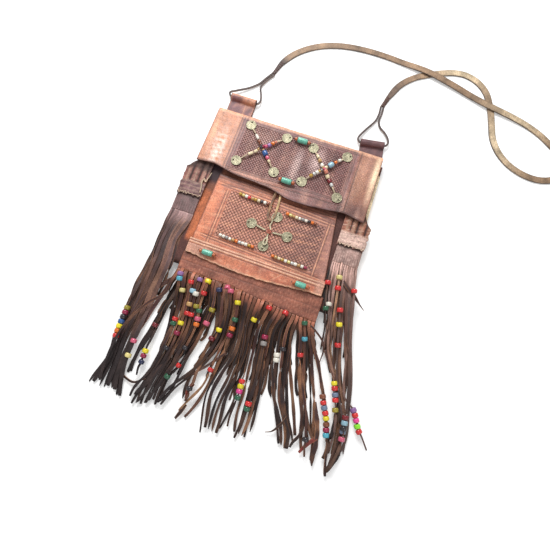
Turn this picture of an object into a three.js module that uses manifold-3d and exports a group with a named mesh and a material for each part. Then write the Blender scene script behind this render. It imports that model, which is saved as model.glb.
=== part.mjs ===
// A fringed shoulder bag of tooled leather, lying on its back. All lengths are millimetres.
// +X is the bag's right-hand side, +Y its top edge and +Z is up from the surface that it lies on.
// The origin is the middle of the back panel's underside.
import * as THREE from 'three';
import { mergeVertices } from 'three/addons/utils/BufferGeometryUtils.js';
import Module from 'manifold-3d';

const wasm = await Module();
wasm.setup();

// Body
const bodyLength = 232;
const bodyTopWidth = 254;
const bodyBottomWidth = 262;
const backThickness = 2;
const touch = 0.3; // clearance that pieces lying on each other keep
const pouchDepth = 9;
const pouchWall = 2;
const pouchShoulder = 3.5;
const mouthDrop = 20; // from the top edge down to the rim of the pouch's front

// Flap and the fold that carries it
const flapWidth = 251;
const flapShift = -2.5; // the flap sits a little left of the middle
const flapThickness = 2.2;
const flapClearance = 1.8; // above the tooled front, at the hinge line
const flapSpring = 3; // how far its lower edge stands off more than its top
const foldBulge = 8;

// Tooled front, its bottom band and the fringe below it
const frontTopWidth = 178;
const frontBottomWidth = 196;
const frontShift = -3; // at its top; the lower edge is shifted by frontBottomShift
const frontBottomShift = 2;
const frontThickness = 3;
const frontFoot = 17; // from the body's bottom edge up to the front's lower edge
const frontHidden = 112; // how far the front reaches above its foot row, to end below the flap
const borderHeight = 0.6;
const bandWidth = 196;
const bandTop = 38; // above the body's bottom edge
const bandFoot = 10;
const bandThickness = 1.5;
const frontMiddleShare = 0.345; // the coins' middle above the body's bottom edge
const fringeThickness = 1.8;
const fringeWidth = 202;
const slitDropLeft = 8; // from the body's bottom edge to where the front fringe is slit
const slitDropRight = 18;
const strandThickness = 1.5;
const strandWidth = 4.6;
const rootBend = 5; // from a strand's root to where it can bend
const fallReach = 55; // length over which a strand comes down
const outlineMargin = 14; // how far past the body's outline a strand starts to come down

// Side panels
const leftOverhang = 11; // how far they reach past the body's side
const leftSideWidth = 37;
const rightOverhang = 5;
const rightSideWidth = 39;
const sideTop = 152; // above the body's bottom edge, hidden by the flap
const sideTorn = 96; // torn lower edge of the upper piece
const sideSlit = 70; // where the lower piece is slit into its fringe
const sideThickness = 1.5;
const sideTrim = 1.5; // the fringe piece is this much narrower on each side
const slitGap = 0.5;

// Beads, coins and thongs
const ponyRadius = 4.3;
const ponyLength = 6;
const seedRadius = 2.3;
const seedLength = 4.2;
const stoneRadius = 4;
const stoneLength = 14.5;
const coinRadius = 7.4;
const coinThickness = 1.1;
const coinHole = 1.1;
const beadSpace = 0.6; // least space between beads that follow each other
const threadWidth = 1;
const laceWidth = 2.8;
const loopThong = 2.4;

// Tabs and strap
const tabLengthLeft = 28; // from the fold to the middle of its tunnel
const tabLengthRight = 19;
const tabWidthLeft = 39;
const tabWidthRight = 35;
const tabLeft = -102.5;
const tabRight = 106;
const tabTurn = 9; // degrees that the right tab lies askew
const tunnelRadius = 3.3;
const tabThickness = 2;
const strapWidth = 10;
const strapThickness = 2.2;
const strapSteps = 46;

// Levels and edges worked out from the sizes above
const bodyTop = bodyLength / 2;
const bodyBottom = -bodyLength / 2;
const pouchFloor = backThickness + touch;
const pouchTop = pouchFloor + pouchDepth + pouchWall;
const onPouch = pouchTop + touch;
const frontTop = onPouch + frontThickness;
const onFront = frontTop + touch;
const flapUnder = frontTop + flapClearance;
const flapUpper = flapUnder + flapThickness;
const hingeY = bodyTop + touch / 2;

const clamp01 = (t) => Math.min(1, Math.max(0, t));
const mix = (a, b, t) => a + (b - a) * t;
const ease = (t) => clamp01(t) * clamp01(t) * (3 - 2 * clamp01(t));
const wobble = (n) => Math.sin(n * 12.9898 + 4.1) * Math.cos(n * 4.37 + 1.3);

// Half the body's width at a height
function bodyHalf(y) {
  return mix(bodyBottomWidth, bodyTopWidth, (y - bodyBottom) / bodyLength) / 2;
}

// Materials
const finish = (color, roughness, metalness = 0) =>
  new THREE.MeshStandardMaterial({ color, roughness, metalness });
const flapLeather = finish(0x7d5348, 0.55);
const bodyLeather = finish(0xa2603f, 0.6);
const frontLeather = finish(0xab6a4e, 0.5);
const bandLeather = finish(0xc98a68, 0.55);
const fringeLeather = finish(0x7a4c3c, 0.65);
const sideLeather = finish(0x7f5d58, 0.65);
const darkLeather = finish(0x5a3f3d, 0.6);
const strapLeather = finish(0x6b5548, 0.7);
const coinMetal = finish(0xb7b78f, 0.4, 0.8);
const stone = finish(0x5fbfa2, 0.35);
const glassBead = finish(0xd9a23c, 0.25);

const bag = new THREE.Group();

function addPiece(name, geometry, material) {
  const mesh = new THREE.Mesh(geometry, material);
  mesh.name = name;
  bag.add(mesh);
  return mesh;
}

// Closed geometry to a solid, and back
function solidOf(geometry) {
  const bare = new THREE.BufferGeometry();
  bare.setAttribute('position', geometry.getAttribute('position'));
  bare.setIndex(geometry.index);
  const merged = mergeVertices(bare, 1e-4);
  return new wasm.Manifold(
    new wasm.Mesh({
      numProp: 3,
      vertProperties: merged.getAttribute('position').array,
      triVerts: new Uint32Array(merged.index.array),
    }),
  );
}

function geometryOf(solid) {
  const mesh = solid.getMesh();
  const geometry = new THREE.BufferGeometry();
  geometry.setAttribute('position', new THREE.BufferAttribute(mesh.vertProperties, 3));
  geometry.setIndex(new THREE.BufferAttribute(mesh.triVerts, 1));
  return geometry;
}

const join = (solids) => solids.reduce((whole, solid) => whole.add(solid));

// Joins two rings with triangles. Like rings are joined corner by corner, and unlike ones, which lie
// in one plane, by the shorter way across.
function stitch(one, two, oneStart, twoStart) {
  const faces = [];
  let a = 0;
  let b = 0;
  while (a < one.length || b < two.length) {
    const nextOne = (a + 1) % one.length;
    const nextTwo = (b + 1) % two.length;
    const here = oneStart + (a % one.length);
    const there = twoStart + (b % two.length);
    const stepOne = one[nextOne].distanceTo(two[b % two.length]);
    const stepTwo = one[a % one.length].distanceTo(two[nextTwo]);
    const oneFirst = one.length === two.length ? a <= b : stepOne <= stepTwo;
    if (b === two.length || (a < one.length && oneFirst)) {
      faces.push(here, oneStart + nextOne, there);
      a += 1;
    } else {
      faces.push(here, twoStart + nextTwo, there);
      b += 1;
    }
  }
  return faces;
}

// A closed skin through rings of points, each ring running clockwise as seen along the path
function loft(rings) {
  const positions = rings.flat().flatMap((point) => [point.x, point.y, point.z]);
  const index = [];
  let start = 0;
  rings.slice(1).forEach((ring, number) => {
    const before = rings[number];
    index.push(...stitch(before, ring, start, start + before.length));
    start += before.length;
  });
  for (let side = 1; side < rings[0].length - 1; side += 1) {
    index.push(0, side + 1, side);
  }
  for (let side = 1; side < rings.at(-1).length - 1; side += 1) {
    index.push(start, start + side, start + side + 1);
  }
  const geometry = new THREE.BufferGeometry();
  geometry.setAttribute('position', new THREE.Float32BufferAttribute(positions, 3));
  geometry.setIndex(index);
  return geometry;
}

// Places a flat section, given as [across, up] pairs, square to a path
function ringAt(centre, tangent, section) {
  const across = new THREE.Vector3().crossVectors(tangent, new THREE.Vector3(0, 0, 1)).normalize();
  const up = new THREE.Vector3().crossVectors(across, tangent).normalize();
  return section.map(([side, high]) =>
    centre.clone().addScaledVector(across, side).addScaledVector(up, high),
  );
}

function polygon(radius, sides) {
  const corners = [];
  for (let corner = 0; corner < sides; corner += 1) {
    const angle = (Math.PI * (1 - 2 * corner)) / sides;
    corners.push([radius * Math.cos(angle), radius * Math.sin(angle)]);
  }
  return corners;
}

const strip = (width, thickness) => [
  [width / 2, thickness / 2],
  [width / 2, -thickness / 2],
  [-width / 2, -thickness / 2],
  [-width / 2, thickness / 2],
];

// A strip through places that follow each other, with a section that may change on the way, and
// with beads threaded on it. A bead is its distance along the strip, its radius and its length.
// Beads that would run into each other are moved on.
function threaded(places, sectionAt, beads = [], sides = 6) {
  const path = new THREE.CurvePath();
  places.slice(1).forEach((place, index) => path.add(new THREE.LineCurve3(places[index], place)));
  const whole = path.getLength();
  const pointAt = (distance) => path.getPoint(clamp01(distance / whole));
  const directionAt = (distance) => {
    const ahead = pointAt(Math.min(whole, distance + 2));
    return ahead.sub(pointAt(Math.max(0, distance - 2))).normalize();
  };
  const stops = [];
  let reached = 0;
  const inOrder = [...beads].sort(([one], [other]) => one - other);
  inOrder.forEach(([wanted, radius, length]) => {
    const at = Math.max(wanted, reached + length / 2 + beadSpace);
    if (at + length / 2 + beadSpace > whole) {
      return;
    }
    reached = at + length / 2;
    const along = directionAt(at);
    const middle = pointAt(at);
    const start = middle.clone().addScaledVector(along, -length / 2);
    const end = middle.clone().addScaledVector(along, length / 2);
    const inner = sectionAt(at / whole);
    const outer = polygon(radius, sides);
    const rings = [
      ringAt(start, along, inner),
      ringAt(start, along, outer),
      ringAt(end, along, outer),
      ringAt(end, along, inner),
    ];
    stops.push({ at, half: length / 2, rings });
  });
  const joints = [0, ...path.getCurveLengths()].filter((distance) =>
    stops.every(({ at, half }) => Math.abs(distance - at) > half + beadSpace / 2),
  );
  joints.forEach((at) => {
    stops.push({ at, rings: [ringAt(pointAt(at), directionAt(at), sectionAt(at / whole))] });
  });
  return loft(stops.sort((one, other) => one.at - other.at).flatMap(({ rings }) => rings));
}

const sweep = (curve, steps, sectionAt) => threaded(curve.getSpacedPoints(steps), sectionAt);

// A leather sheet over a grid: place(u, v) gives x and y, underside(x, y) its height
function sheet(columns, rows, place, underside, thicknessAt) {
  const positions = [];
  const index = [];
  for (const upper of [0, 1]) {
    for (let row = 0; row <= rows; row += 1) {
      for (let column = 0; column <= columns; column += 1) {
        const [x, y] = place(column / columns, row / rows);
        positions.push(x, y, underside(x, y) + upper * thicknessAt(column, row));
      }
    }
  }
  const across = columns + 1;
  const layer = across * (rows + 1);
  const quad = (a, b, c, d) => index.push(a, b, c, a, c, d);
  for (let row = 0; row < rows; row += 1) {
    for (let column = 0; column < columns; column += 1) {
      const corner = row * across + column;
      quad(corner, corner + across, corner + across + 1, corner + 1);
      const above = corner + layer;
      quad(above, above + 1, above + across + 1, above + across);
    }
    const left = row * across;
    const right = left + columns;
    quad(left, left + layer, left + across + layer, left + across);
    quad(right, right + across, right + across + layer, right + layer);
  }
  for (let column = 0; column < columns; column += 1) {
    const low = column;
    const high = rows * across + column;
    quad(low, low + 1, low + 1 + layer, low + layer);
    quad(high, high + layer, high + 1 + layer, high + 1);
  }
  const geometry = new THREE.BufferGeometry();
  geometry.setAttribute('position', new THREE.Float32BufferAttribute(positions, 3));
  geometry.setIndex(index);
  return geometry;
}

const route = (points) =>
  new THREE.CatmullRomCurve3(points.map(([x, y, z]) => new THREE.Vector3(x, y, z)));

// Back panel
function makeBackPanel() {
  const place = (u, v) => {
    const y = mix(bodyBottom, bodyTop, v);
    return [mix(-bodyHalf(y), bodyHalf(y), u), y];
  };
  return sheet(1, 1, place, () => 0, () => backThickness);
}
addPiece('back_panel', makeBackPanel(), bodyLeather);

// Pouch: a shallow tray of leather with its mouth towards the top edge
function bodyRing(inset, rimY, z) {
  const low = bodyBottom + inset;
  return [
    new THREE.Vector3(-bodyHalf(low) + inset, low, z),
    new THREE.Vector3(bodyHalf(low) - inset, low, z),
    new THREE.Vector3(bodyHalf(rimY) - inset, rimY, z),
    new THREE.Vector3(-bodyHalf(rimY) + inset, rimY, z),
  ];
}

function makePouch() {
  const rimY = bodyTop - mouthDrop;
  const outer = loft([
    bodyRing(0, rimY, pouchFloor),
    bodyRing(0, rimY, pouchTop - pouchShoulder),
    bodyRing(pouchShoulder / 3, rimY, pouchTop - pouchShoulder / 3),
    bodyRing(pouchShoulder, rimY, pouchTop),
  ]);
  const beyond = rimY + 1;
  const inner = loft([
    bodyRing(pouchWall, beyond, pouchFloor - 1),
    bodyRing(pouchWall, beyond, pouchFloor + pouchDepth - pouchShoulder / 2),
    bodyRing(pouchWall + pouchShoulder / 2, beyond, pouchFloor + pouchDepth),
  ]);
  return geometryOf(solidOf(outer).subtract(solidOf(inner)));
}
addPiece('pouch_front', makePouch(), bodyLeather);

// Fold over the top edge, a half round of the same leather between back and flap
function foldOuter(z) {
  const half = flapUpper / 2;
  const reach = 1 - ((z - half) / half) ** 2;
  return bodyTop + touch + foldBulge * Math.sqrt(Math.max(0, reach));
}

function makeTopFold() {
  const half = flapUpper / 2;
  const startY = bodyTop + touch;
  const profile = new THREE.Shape();
  profile.absellipse(startY, half, foldBulge, half, -Math.PI / 2, Math.PI / 2, false);
  profile.absellipse(
    startY,
    half,
    foldBulge - backThickness,
    half - backThickness,
    Math.PI / 2,
    -Math.PI / 2,
    true,
  );
  const geometry = new THREE.ExtrudeGeometry(profile, {
    depth: flapWidth,
    bevelEnabled: false,
    curveSegments: 8,
  });
  geometry.rotateX(Math.PI / 2);
  geometry.rotateZ(Math.PI / 2);
  return geometry;
}
const topFold = addPiece('top_fold', makeTopFold(), flapLeather);
topFold.position.x = flapShift - flapWidth / 2;

// Flap: its lower edge is worn to a shallow wave, given as x and its length below the hinge line as a
// share of the body's length
const flapEdge = new THREE.SplineCurve(
  [
    [-129, 0.362],
    [-112, 0.358],
    [-96, 0.384],
    [-60, 0.392],
    [-5, 0.401],
    [28, 0.431],
    [62, 0.435],
    [92, 0.422],
    [112, 0.409],
    [124, 0.427],
  ].map(([x, share]) => new THREE.Vector2(x, share * bodyLength)),
);

function flapLengthAt(u) {
  return flapEdge.getPoint(u).y;
}

function flapHeight(x, y) {
  const down = (hingeY - y) / flapEdge.getPoint(0.5).y;
  const droop = ease((Math.abs(x - flapShift) - flapWidth * 0.4) / (flapWidth * 0.1));
  const wave = 0.5 * Math.sin(x / 19) * down;
  return flapUnder + flapSpring * ease(down) + wave - 1.2 * droop * ease(down);
}

function makeFlap() {
  const place = (u, v) => {
    const x = mix(-flapWidth / 2, flapWidth / 2, u) + flapShift - 2 * (1 - u) * (1 - v);
    return [x, bodyTop - (1 - v) * flapLengthAt(u)];
  };
  return sheet(14, 4, place, flapHeight, () => flapThickness);
}
addPiece('flap', makeFlap(), flapLeather);

// Tooled front: a raised border frames the part that carries the lattice
function frontEdges(y) {
  const t = (y - bodyBottom - frontFoot) / frontHidden;
  const half = mix(frontBottomWidth, frontTopWidth, t) / 2;
  const shift = mix(frontBottomShift, frontShift, t);
  return [shift - half, shift + half];
}

function makeFront() {
  const columnsAt = [0, 0.02, 0.105, 0.12, 0.37, 0.63, 0.88, 0.895, 0.98, 1];
  const rowsAt = [0, 0.215, 0.235, 0.42, 0.62, 0.87, 0.885, 0.91, 0.925, 1];
  const raisedColumns = [1, 2, 7, 8];
  const raisedRows = [1, 2, 5, 7];
  const place = (u, v) => {
    const y = bodyBottom + frontFoot + rowsAt[Math.round(v * 9)] * frontHidden;
    const [left, right] = frontEdges(y);
    return [mix(left, right, columnsAt[Math.round(u * 9)]), y];
  };
  const thickness = (column, row) => {
    const border = raisedColumns.includes(column) || (raisedRows.includes(row) && column > 1 && column < 8);
    return frontThickness - (border ? 0 : borderHeight);
  };
  return sheet(9, 9, place, () => onPouch, thickness);
}
addPiece('tooled_front', makeFront(), frontLeather);

// Bottom band, laid over the front's foot, with a torn lower edge
function makeBand() {
  const middle = frontBottomShift - 1;
  const place = (u, v) => {
    const x = middle + mix(-bandWidth / 2, bandWidth / 2, u);
    const belly = 6 * Math.sin(Math.PI * clamp01(u * 1.15 - 0.02)) + 0.8 * wobble(u * 31);
    const low = bodyBottom + bandFoot + 7 - belly;
    return [x, mix(low, bodyBottom + bandTop, v)];
  };
  return sheet(24, 1, place, () => onFront, () => bandThickness);
}
addPiece('bottom_band', makeBand(), bandLeather);

// Strands. Each lock is a gathering of neighbouring strands that run together. Its places are x and
// the drop below the body's bottom edge, "apart" is the room between neighbours on the way, and
// "fan" is that room at the tips.
const frontLocks = [
  { strands: 1, via: [[-101, 30], [-102, 46], [-118, 65], [-132, 88], [-141, 114]], tip: [-139, 181], over: 2.7 },
  { strands: 1, via: [[-90, 18], [-87, 37], [-84, 75], [-82, 114]], tip: [-91, 196] },
  { strands: 4, via: [[-73, 40], [-70, 78], [-72, 120], [-79, 160]], tip: [-83, 191], apart: 4.6, fan: 5 },
  { strands: 3, via: [[-56, 45], [-52, 75], [-56, 110], [-64, 150]], tip: [-67, 185], apart: 5, fan: 5 },
  { strands: 2, via: [[-36, 45], [-40, 85], [-52, 125], [-60, 152]], tip: [-60, 184], apart: 4.6, fan: 4 },
  { strands: 2, via: [[-23, 45], [-18, 70], [-21, 95], [-27, 130]], tip: [-28, 168], apart: 4.2, fan: 4 },
  { strands: 2, via: [[-12, 50], [-12, 85], [-24, 122], [-44, 156]], tip: [-57, 184], apart: 4.8, fan: 5, over: 1 },
  { strands: 2, via: [[-3, 45], [-3, 85], [-6, 124], [-9, 145]], tip: [-25, 188], apart: 5, fan: 9 },
  { strands: 2, via: [[7, 45], [12, 88], [4, 125], [0, 152]], tip: [8, 196], apart: 4.6, fan: 4, over: 1 },
  { strands: 3, via: [[16, 45], [22, 88], [21, 125], [18, 155]], tip: [20, 194], apart: 4.8, fan: 5 },
  { strands: 3, via: [[29, 45], [32, 85], [36, 125], [38, 152]], tip: [38, 186], apart: 5, fan: 10 },
  { strands: 4, via: [[47, 45], [52, 88], [55, 125], [56, 155]], tip: [56, 188], apart: 4.8, fan: 4 },
  { strands: 3, via: [[70, 40], [76, 80], [88, 125], [104, 156]], tip: [115, 180], apart: 7, fan: 8 },
  { strands: 2, via: [[92, 40], [101, 68], [113, 105], [128, 142]], tip: [139, 180], apart: 5.6, fan: 6 },
  { strands: 1, via: [[106, 45], [120, 82], [137, 128]], tip: [152, 186] },
  { strands: 1, via: [[112, 51], [124, 69], [138, 98], [145, 114], [154, 131]], tip: [162, 158], over: 0.8 },
];
const underLocks = [
  { strands: 2, via: [[-97, 57], [-102, 89], [-108, 124]], tip: [-111, 158], apart: 4.6, fan: 4 },
  { strands: 1, via: [[-93, 50], [-97, 94], [-99, 129]], tip: [-98, 160] },
  { strands: 4, via: [[-70, 50], [-68, 95]], tip: [-77, 168], apart: 6, fan: 6 },
  { strands: 3, via: [[-42, 50], [-46, 95]], tip: [-56, 140], apart: 7, fan: 6 },
  { strands: 2, via: [[-18, 45], [-16, 80]], tip: [-26, 118], apart: 6, fan: 6 },
  { strands: 2, via: [[2, 45], [6, 85]], tip: [-4, 140], apart: 6, fan: 5 },
  { strands: 2, via: [[22, 45], [28, 90]], tip: [30, 150], apart: 6, fan: 6 },
  { strands: 2, via: [[44, 45], [52, 95]], tip: [56, 160], apart: 6, fan: 6 },
  { strands: 2, via: [[72, 45], [92, 98]], tip: [120, 165], apart: 7, fan: 7 },
  { strands: 2, via: [[98, 45], [118, 96]], tip: [145, 165], apart: 7, fan: 7 },
];

// Side fringes: here the first number is how far outside the body's side edge the strand lies
const leftLocks = [
  { strands: 3, via: [[8, -31], [9, 9], [13, 49], [14, 79], [14, 119], [11, 149]], tip: [20, 186], apart: 3.2, fan: 6 },
  { strands: 4, via: [[-2, -31], [-3, 9], [1, 49], [3, 79], [5, 119], [3, 149]], tip: [2, 187], apart: 3, fan: 5 },
  { strands: 3, via: [[-12, -31], [-15, 9], [-10, 49], [-9, 79], [-10, 149]], tip: [-16, 190], apart: 3, fan: 5 },
];
const rightLocks = [
  { strands: 3, via: [[-24, -31], [-19, -9], [-12, 14]], tip: [-6, 46], apart: 4.2, fan: 4 },
  { strands: 2, via: [[-15, -26], [-8, 14], [1, 46], [19, 78], [34, 119]], tip: [41, 169], apart: 4.6, fan: 5 },
  { strands: 3, via: [[-8, -31], [2, 12], [9, 37], [24, 84], [34, 104], [46, 130]], tip: [53, 169], apart: 4, fan: 5 },
  { strands: 3, via: [[5, -26], [14, 4], [23, 34], [34, 64], [42, 100], [49, 154]], tip: [45, 186], apart: 3.6, over: 1 },
  { strands: 1, via: [[12, -16], [20, 20], [30, 70], [39, 98], [54, 110], [67, 132]], tip: [83, 152], over: 1 },
];

// Where each pony bead sits, as x and the drop below the body's bottom edge
const frontBeads = [
  [-90, 16], [-87, 22], [-83, 37], [-72, 22], [-69, 33], [-62, 16], [-60, 35], [-51, 14], [-49, 32],
  [-66, 52], [-65, 64], [-57, 50], [-58, 63], [-45, 54], [-44, 66], [-44, 73], [-37, 67], [-34, 48],
  [-78, 75], [-76, 82], [-66, 79], [-66, 93], [-75, 115], [-51, 106], [-47, 132], [-59, 149],
  [-34, 21], [-25, 16], [-16, 18], [-4, 28], [-1, 51], [0, 63], [0, 72], [-18, 69], [-20, 85],
  [-27, 153], [-7, 122], [25, 43], [36, 22], [60, 21], [44, 58], [45, 67], [35, 122], [34, 129],
  [36, 136], [38, 143], [54, 145], [55, 152], [70, 66], [88, 26], [94, 45], [99, 65], [140, 163],
  [141, 107], [145, 113], [148, 119], [150, 125], [154, 131], [158, 138], [161, 143], [165, 149],
];
const underBeads = [
  [-101, 91], [-100, 127], [-100, 134], [-99, 142],
];
const leftBeads = [
  [-146, 81], [-146, 88], [-146, 94], [-146, 100], [-145, 107], [-144, 112], [-144, 119], [-120, 121],
];
const rightBeads = [
  [115, -48], [103, -38], [117, -33], [141, -36], [111, -11], [111, -5], [128, -7], [133, 12],
  [139, 37], [149, 86], [149, 94], [151, 101], [158, 105], [160, 118], [177, 123], [177, 129],
  [178, 135], [180, 141], [180, 148], [186, 110], [188, 116], [191, 121], [195, 127], [198, 132],
];

const layerRise = strandThickness + touch; // neighbours lie in two layers
const overRise = 2 * layerRise;
const stagger = 0.07; // keeps crossing strands of one layer out of one plane

// A strand lies on the pouch as far as the body's outline and then comes down to its bed
function fallingHeight(x, y, start, bed, reach) {
  const outside = Math.max(Math.abs(x) - bodyHalf(y), bodyBottom - y);
  return mix(start, bed, ease((outside - outlineMargin) / reach));
}

// Makes the flat routes of one fringe, from its left-hand root to its right-hand root
function lockRoutes(locks, rootX, rootYAt, placeX) {
  const total = countStrands(locks);
  const routes = [];
  locks.forEach((lock) => {
    for (let strand = 0; strand < lock.strands; strand += 1) {
      const number = routes.length;
      const aside = strand - (lock.strands - 1) / 2;
      const t = (number + 0.5) / total;
      const points = [[rootX(t), rootYAt(t)]];
      points.push([rootX(t), rootYAt(t) - rootBend - 1]);
      lock.via.forEach(([x, drop]) => {
        points.push([placeX(x) + aside * (lock.apart ?? 0), bodyBottom - drop]);
      });
      const [tipX, tipDrop] = lock.tip;
      const uneven = lock.strands > 1 ? 5 * wobble(number + 7) : 0;
      points.push([placeX(tipX) + aside * (lock.fan ?? 0), bodyBottom - tipDrop - uneven]);
      routes.push({ points, over: lock.over ?? 0, layer: number % 2, stagger: stagger * (number % 4) });
    }
  });
  return routes;
}

// Threads each bead on the strand that runs nearest to it, and notes whether others run under it
function threadBeads(routes, beads) {
  const curves = routes.map(({ points }) => route(points.map(([x, y]) => [x, y, 0])));
  const marks = curves.map((curve) => curve.getSpacedPoints(120));
  beads.forEach(([x, drop]) => {
    const spot = new THREE.Vector3(x, bodyBottom - drop, 0);
    const nearest = marks.map((points) => {
      const distances = points.map((point) => point.distanceTo(spot));
      const distance = Math.min(...distances);
      return { distance, at: distances.indexOf(distance) / (points.length - 1) };
    });
    const [host] = [...nearest].sort((one, other) => one.distance - other.distance);
    const reach = ponyRadius + strandWidth / 2;
    const crowded = nearest.filter(({ distance }) => distance < reach).length > 1;
    const flat = routes[nearest.indexOf(host)];
    flat.beads = [...(flat.beads ?? []), { at: host.at, crowded }];
  });
  return curves;
}

// One strand with its beads, lifted so that a bead clears what lies below. Besides the even steps it
// has one close to its root, so that a bead there is lifted as well.
function strandSolid(flat, curve, heightAt, steps, width) {
  const whole = curve.getLength();
  const lift = flat.over * overRise + flat.layer * layerRise + flat.stagger;
  const beads = flat.beads ?? [];
  const stops = [0, rootBend / whole];
  for (let step = 1; step <= steps; step += 1) {
    stops.push(step / steps);
  }
  const places = stops.map((stop, index) => {
    const point = curve.getPointAt(stop);
    const ground = heightAt(point.x, point.y);
    const before = stops[index - 1] ?? 0;
    const after = stops[index + 1] ?? 1;
    const beside = beads.filter(({ at }) => at > before && at < after);
    const seats = beside.map(({ crowded }) => ponyRadius - strandThickness / 2 + (crowded ? overRise : 0));
    const seat = flat.over * overRise + flat.stagger + Math.max(...seats);
    const rise = Math.max(lift * ease(2 * stop), index > 0 && seats.length > 0 ? seat : 0);
    return new THREE.Vector3(point.x, point.y, ground + rise);
  });
  const section = (t) => strip(width * (1 - 0.35 * t), strandThickness);
  const ponies = beads.map(({ at }) => [at * whole, ponyRadius, ponyLength]);
  return solidOf(threaded(places, section, ponies));
}

function makeStrands(routes, beads, heightOf, steps, width) {
  const curves = threadBeads(routes, beads);
  return routes.map((flat, strand) =>
    strandSolid(flat, curves[strand], heightOf(flat), steps, width),
  );
}

// Front fringe: one leather, its upper part below the band, slit into strands
const underBed = touch;
const frontBed = underBed + strandThickness + 3 * touch;
const fringeMiddle = onPouch + fringeThickness / 2;
const countStrands = (locks) => locks.reduce((sum, lock) => sum + lock.strands, 0);

// The front fringe is slit further down on its right
const slitYAt = (u) => bodyBottom - mix(slitDropLeft, slitDropRight, ease((u - 0.25) / 0.75));

// The slit edge of a fringe leather steps in and out a little from strand to strand
const slitStep = (column) => (column % 2 === 0 ? 0 : 0.4);

function makeFrontFringe() {
  const top = bodyBottom + frontFoot - touch;
  const left = frontBottomShift - fringeWidth / 2;
  const count = countStrands(frontLocks);
  const place = (u, v) => [
    mix(left, left + fringeWidth, u),
    mix(slitYAt(u) + slitStep(Math.round(u * count)), top, v),
  ];
  const panel = solidOf(sheet(count, 1, place, () => onPouch, () => fringeThickness));
  const rootX = (t) => mix(left, left + fringeWidth, t);
  const routes = lockRoutes(frontLocks, rootX, (t) => slitYAt(t) + 1, (x) => x);
  const bed = frontBed + strandThickness / 2;
  const heightOf = () => (x, y) => fallingHeight(0, y, fringeMiddle, bed, fallReach);
  const strands = makeStrands(routes, frontBeads, heightOf, 5, strandWidth);
  return geometryOf(join([panel, ...strands]));
}
addPiece('front_fringe', makeFrontFringe(), fringeLeather);

// Under fringe: sewn to the pouch's bottom wall, it lies below the front fringe
function makeUnderFringe() {
  const half = fringeWidth / 2 - 4;
  const wallY = bodyBottom - touch;
  const hem = 7;
  const count = countStrands(underLocks);
  const place = (u, v) => [
    frontBottomShift + mix(-half, half, u),
    mix(wallY - strandThickness + slitStep(Math.round(u * count)), wallY, v),
  ];
  const panel = solidOf(sheet(count, 1, place, () => underBed / 2, () => hem));
  const rootY = wallY - strandThickness + 0.8;
  const rootX = (t) => frontBottomShift + mix(-half, half, t);
  const routes = lockRoutes(underLocks, rootX, () => rootY, (x) => x);
  const heightOf = () => () => underBed + strandThickness / 2;
  const single = routes.map((flat) => ({ ...flat, layer: 0 }));
  const strands = makeStrands(single, underBeads, heightOf, 3, strandWidth);
  return geometryOf(join([panel, ...strands]));
}
addPiece('under_fringe', makeUnderFringe(), darkLeather);

// Side pieces. side is -1 on the left and 1 on the right, and "out" counts from the body's side.
const leftSide = { side: -1, outer: leftOverhang, inner: leftOverhang - leftSideWidth };
const rightSide = { side: 1, outer: rightOverhang, inner: rightOverhang - rightSideWidth };
const sideX = (side, out) => side * (bodyBottomWidth / 2 + out);
const sideRows = ({ side, outer, inner }, trim) => (u) =>
  sideX(side, side > 0 ? mix(inner + trim, outer - trim, u) : mix(outer - trim, inner + trim, u));

function sideFall(x) {
  return -4.5 * ease((Math.abs(x) - bodyBottomWidth / 2 + 1) / 12);
}

function makeSideFringe(part, locks, beads) {
  const top = bodyBottom + sideTorn + 10;
  const slit = bodyBottom + sideSlit;
  const across = sideRows(part, sideTrim);
  const count = countStrands(locks);
  const place = (u, v) => [across(u), mix(slit + slitStep(Math.round(u * count)), top, v)];
  const height = (x) => onPouch + sideFall(x);
  const panel = solidOf(sheet(count, 1, place, height, () => fringeThickness));
  const routes = lockRoutes(locks, across, () => slit + 1, (out) => sideX(part.side, out));
  const bed = touch + strandThickness / 2;
  const heightOf = (flat) => {
    const [rootX] = flat.points[0];
    const start = height(rootX) + fringeThickness / 2;
    const free = Math.abs(rootX) > bodyBottomWidth / 2 + strandWidth / 2;
    return (x, y) =>
      free
        ? mix(start, bed, ease((slit - y) / fallReach))
        : fallingHeight(x, y, start, bed, fallReach * 0.8);
  };
  const pitch = (part.outer - part.inner - 2 * sideTrim) / count;
  const strands = makeStrands(routes, beads, heightOf, 6, pitch - slitGap);
  return geometryOf(join([panel, ...strands]));
}
addPiece('left_fringe', makeSideFringe(leftSide, leftLocks, leftBeads), fringeLeather);
addPiece('right_fringe', makeSideFringe(rightSide, rightLocks, rightBeads), fringeLeather);

// Upper side pieces: their tops are cut into strips, and a torn laced edge lies over the fringe piece
function makeSidePanel(part) {
  const low = bodyBottom + sideTorn;
  const across = sideRows(part, 0);
  const place = (u, v) => {
    const torn = 1.6 * wobble(u * 17 + part.side) * (1 - v);
    return [across(u), mix(low, bodyBottom + sideTop, v) + torn];
  };
  const height = (x) => onPouch + sideFall(x) + fringeThickness + 2 * touch;
  const panel = solidOf(sheet(12, 1, place, height, () => sideThickness));
  const slots = [-1, -13].map((out) => {
    const slot = new THREE.BoxGeometry(3.2, 26, 30);
    slot.translate(sideX(part.side, out), bodyBottom + sideTorn + 34, onPouch);
    return solidOf(slot);
  });
  return geometryOf(panel.subtract(join(slots)));
}
addPiece('left_side_panel', makeSidePanel(leftSide), sideLeather);
addPiece('right_side_panel', makeSidePanel(rightSide), bandLeather);

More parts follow.
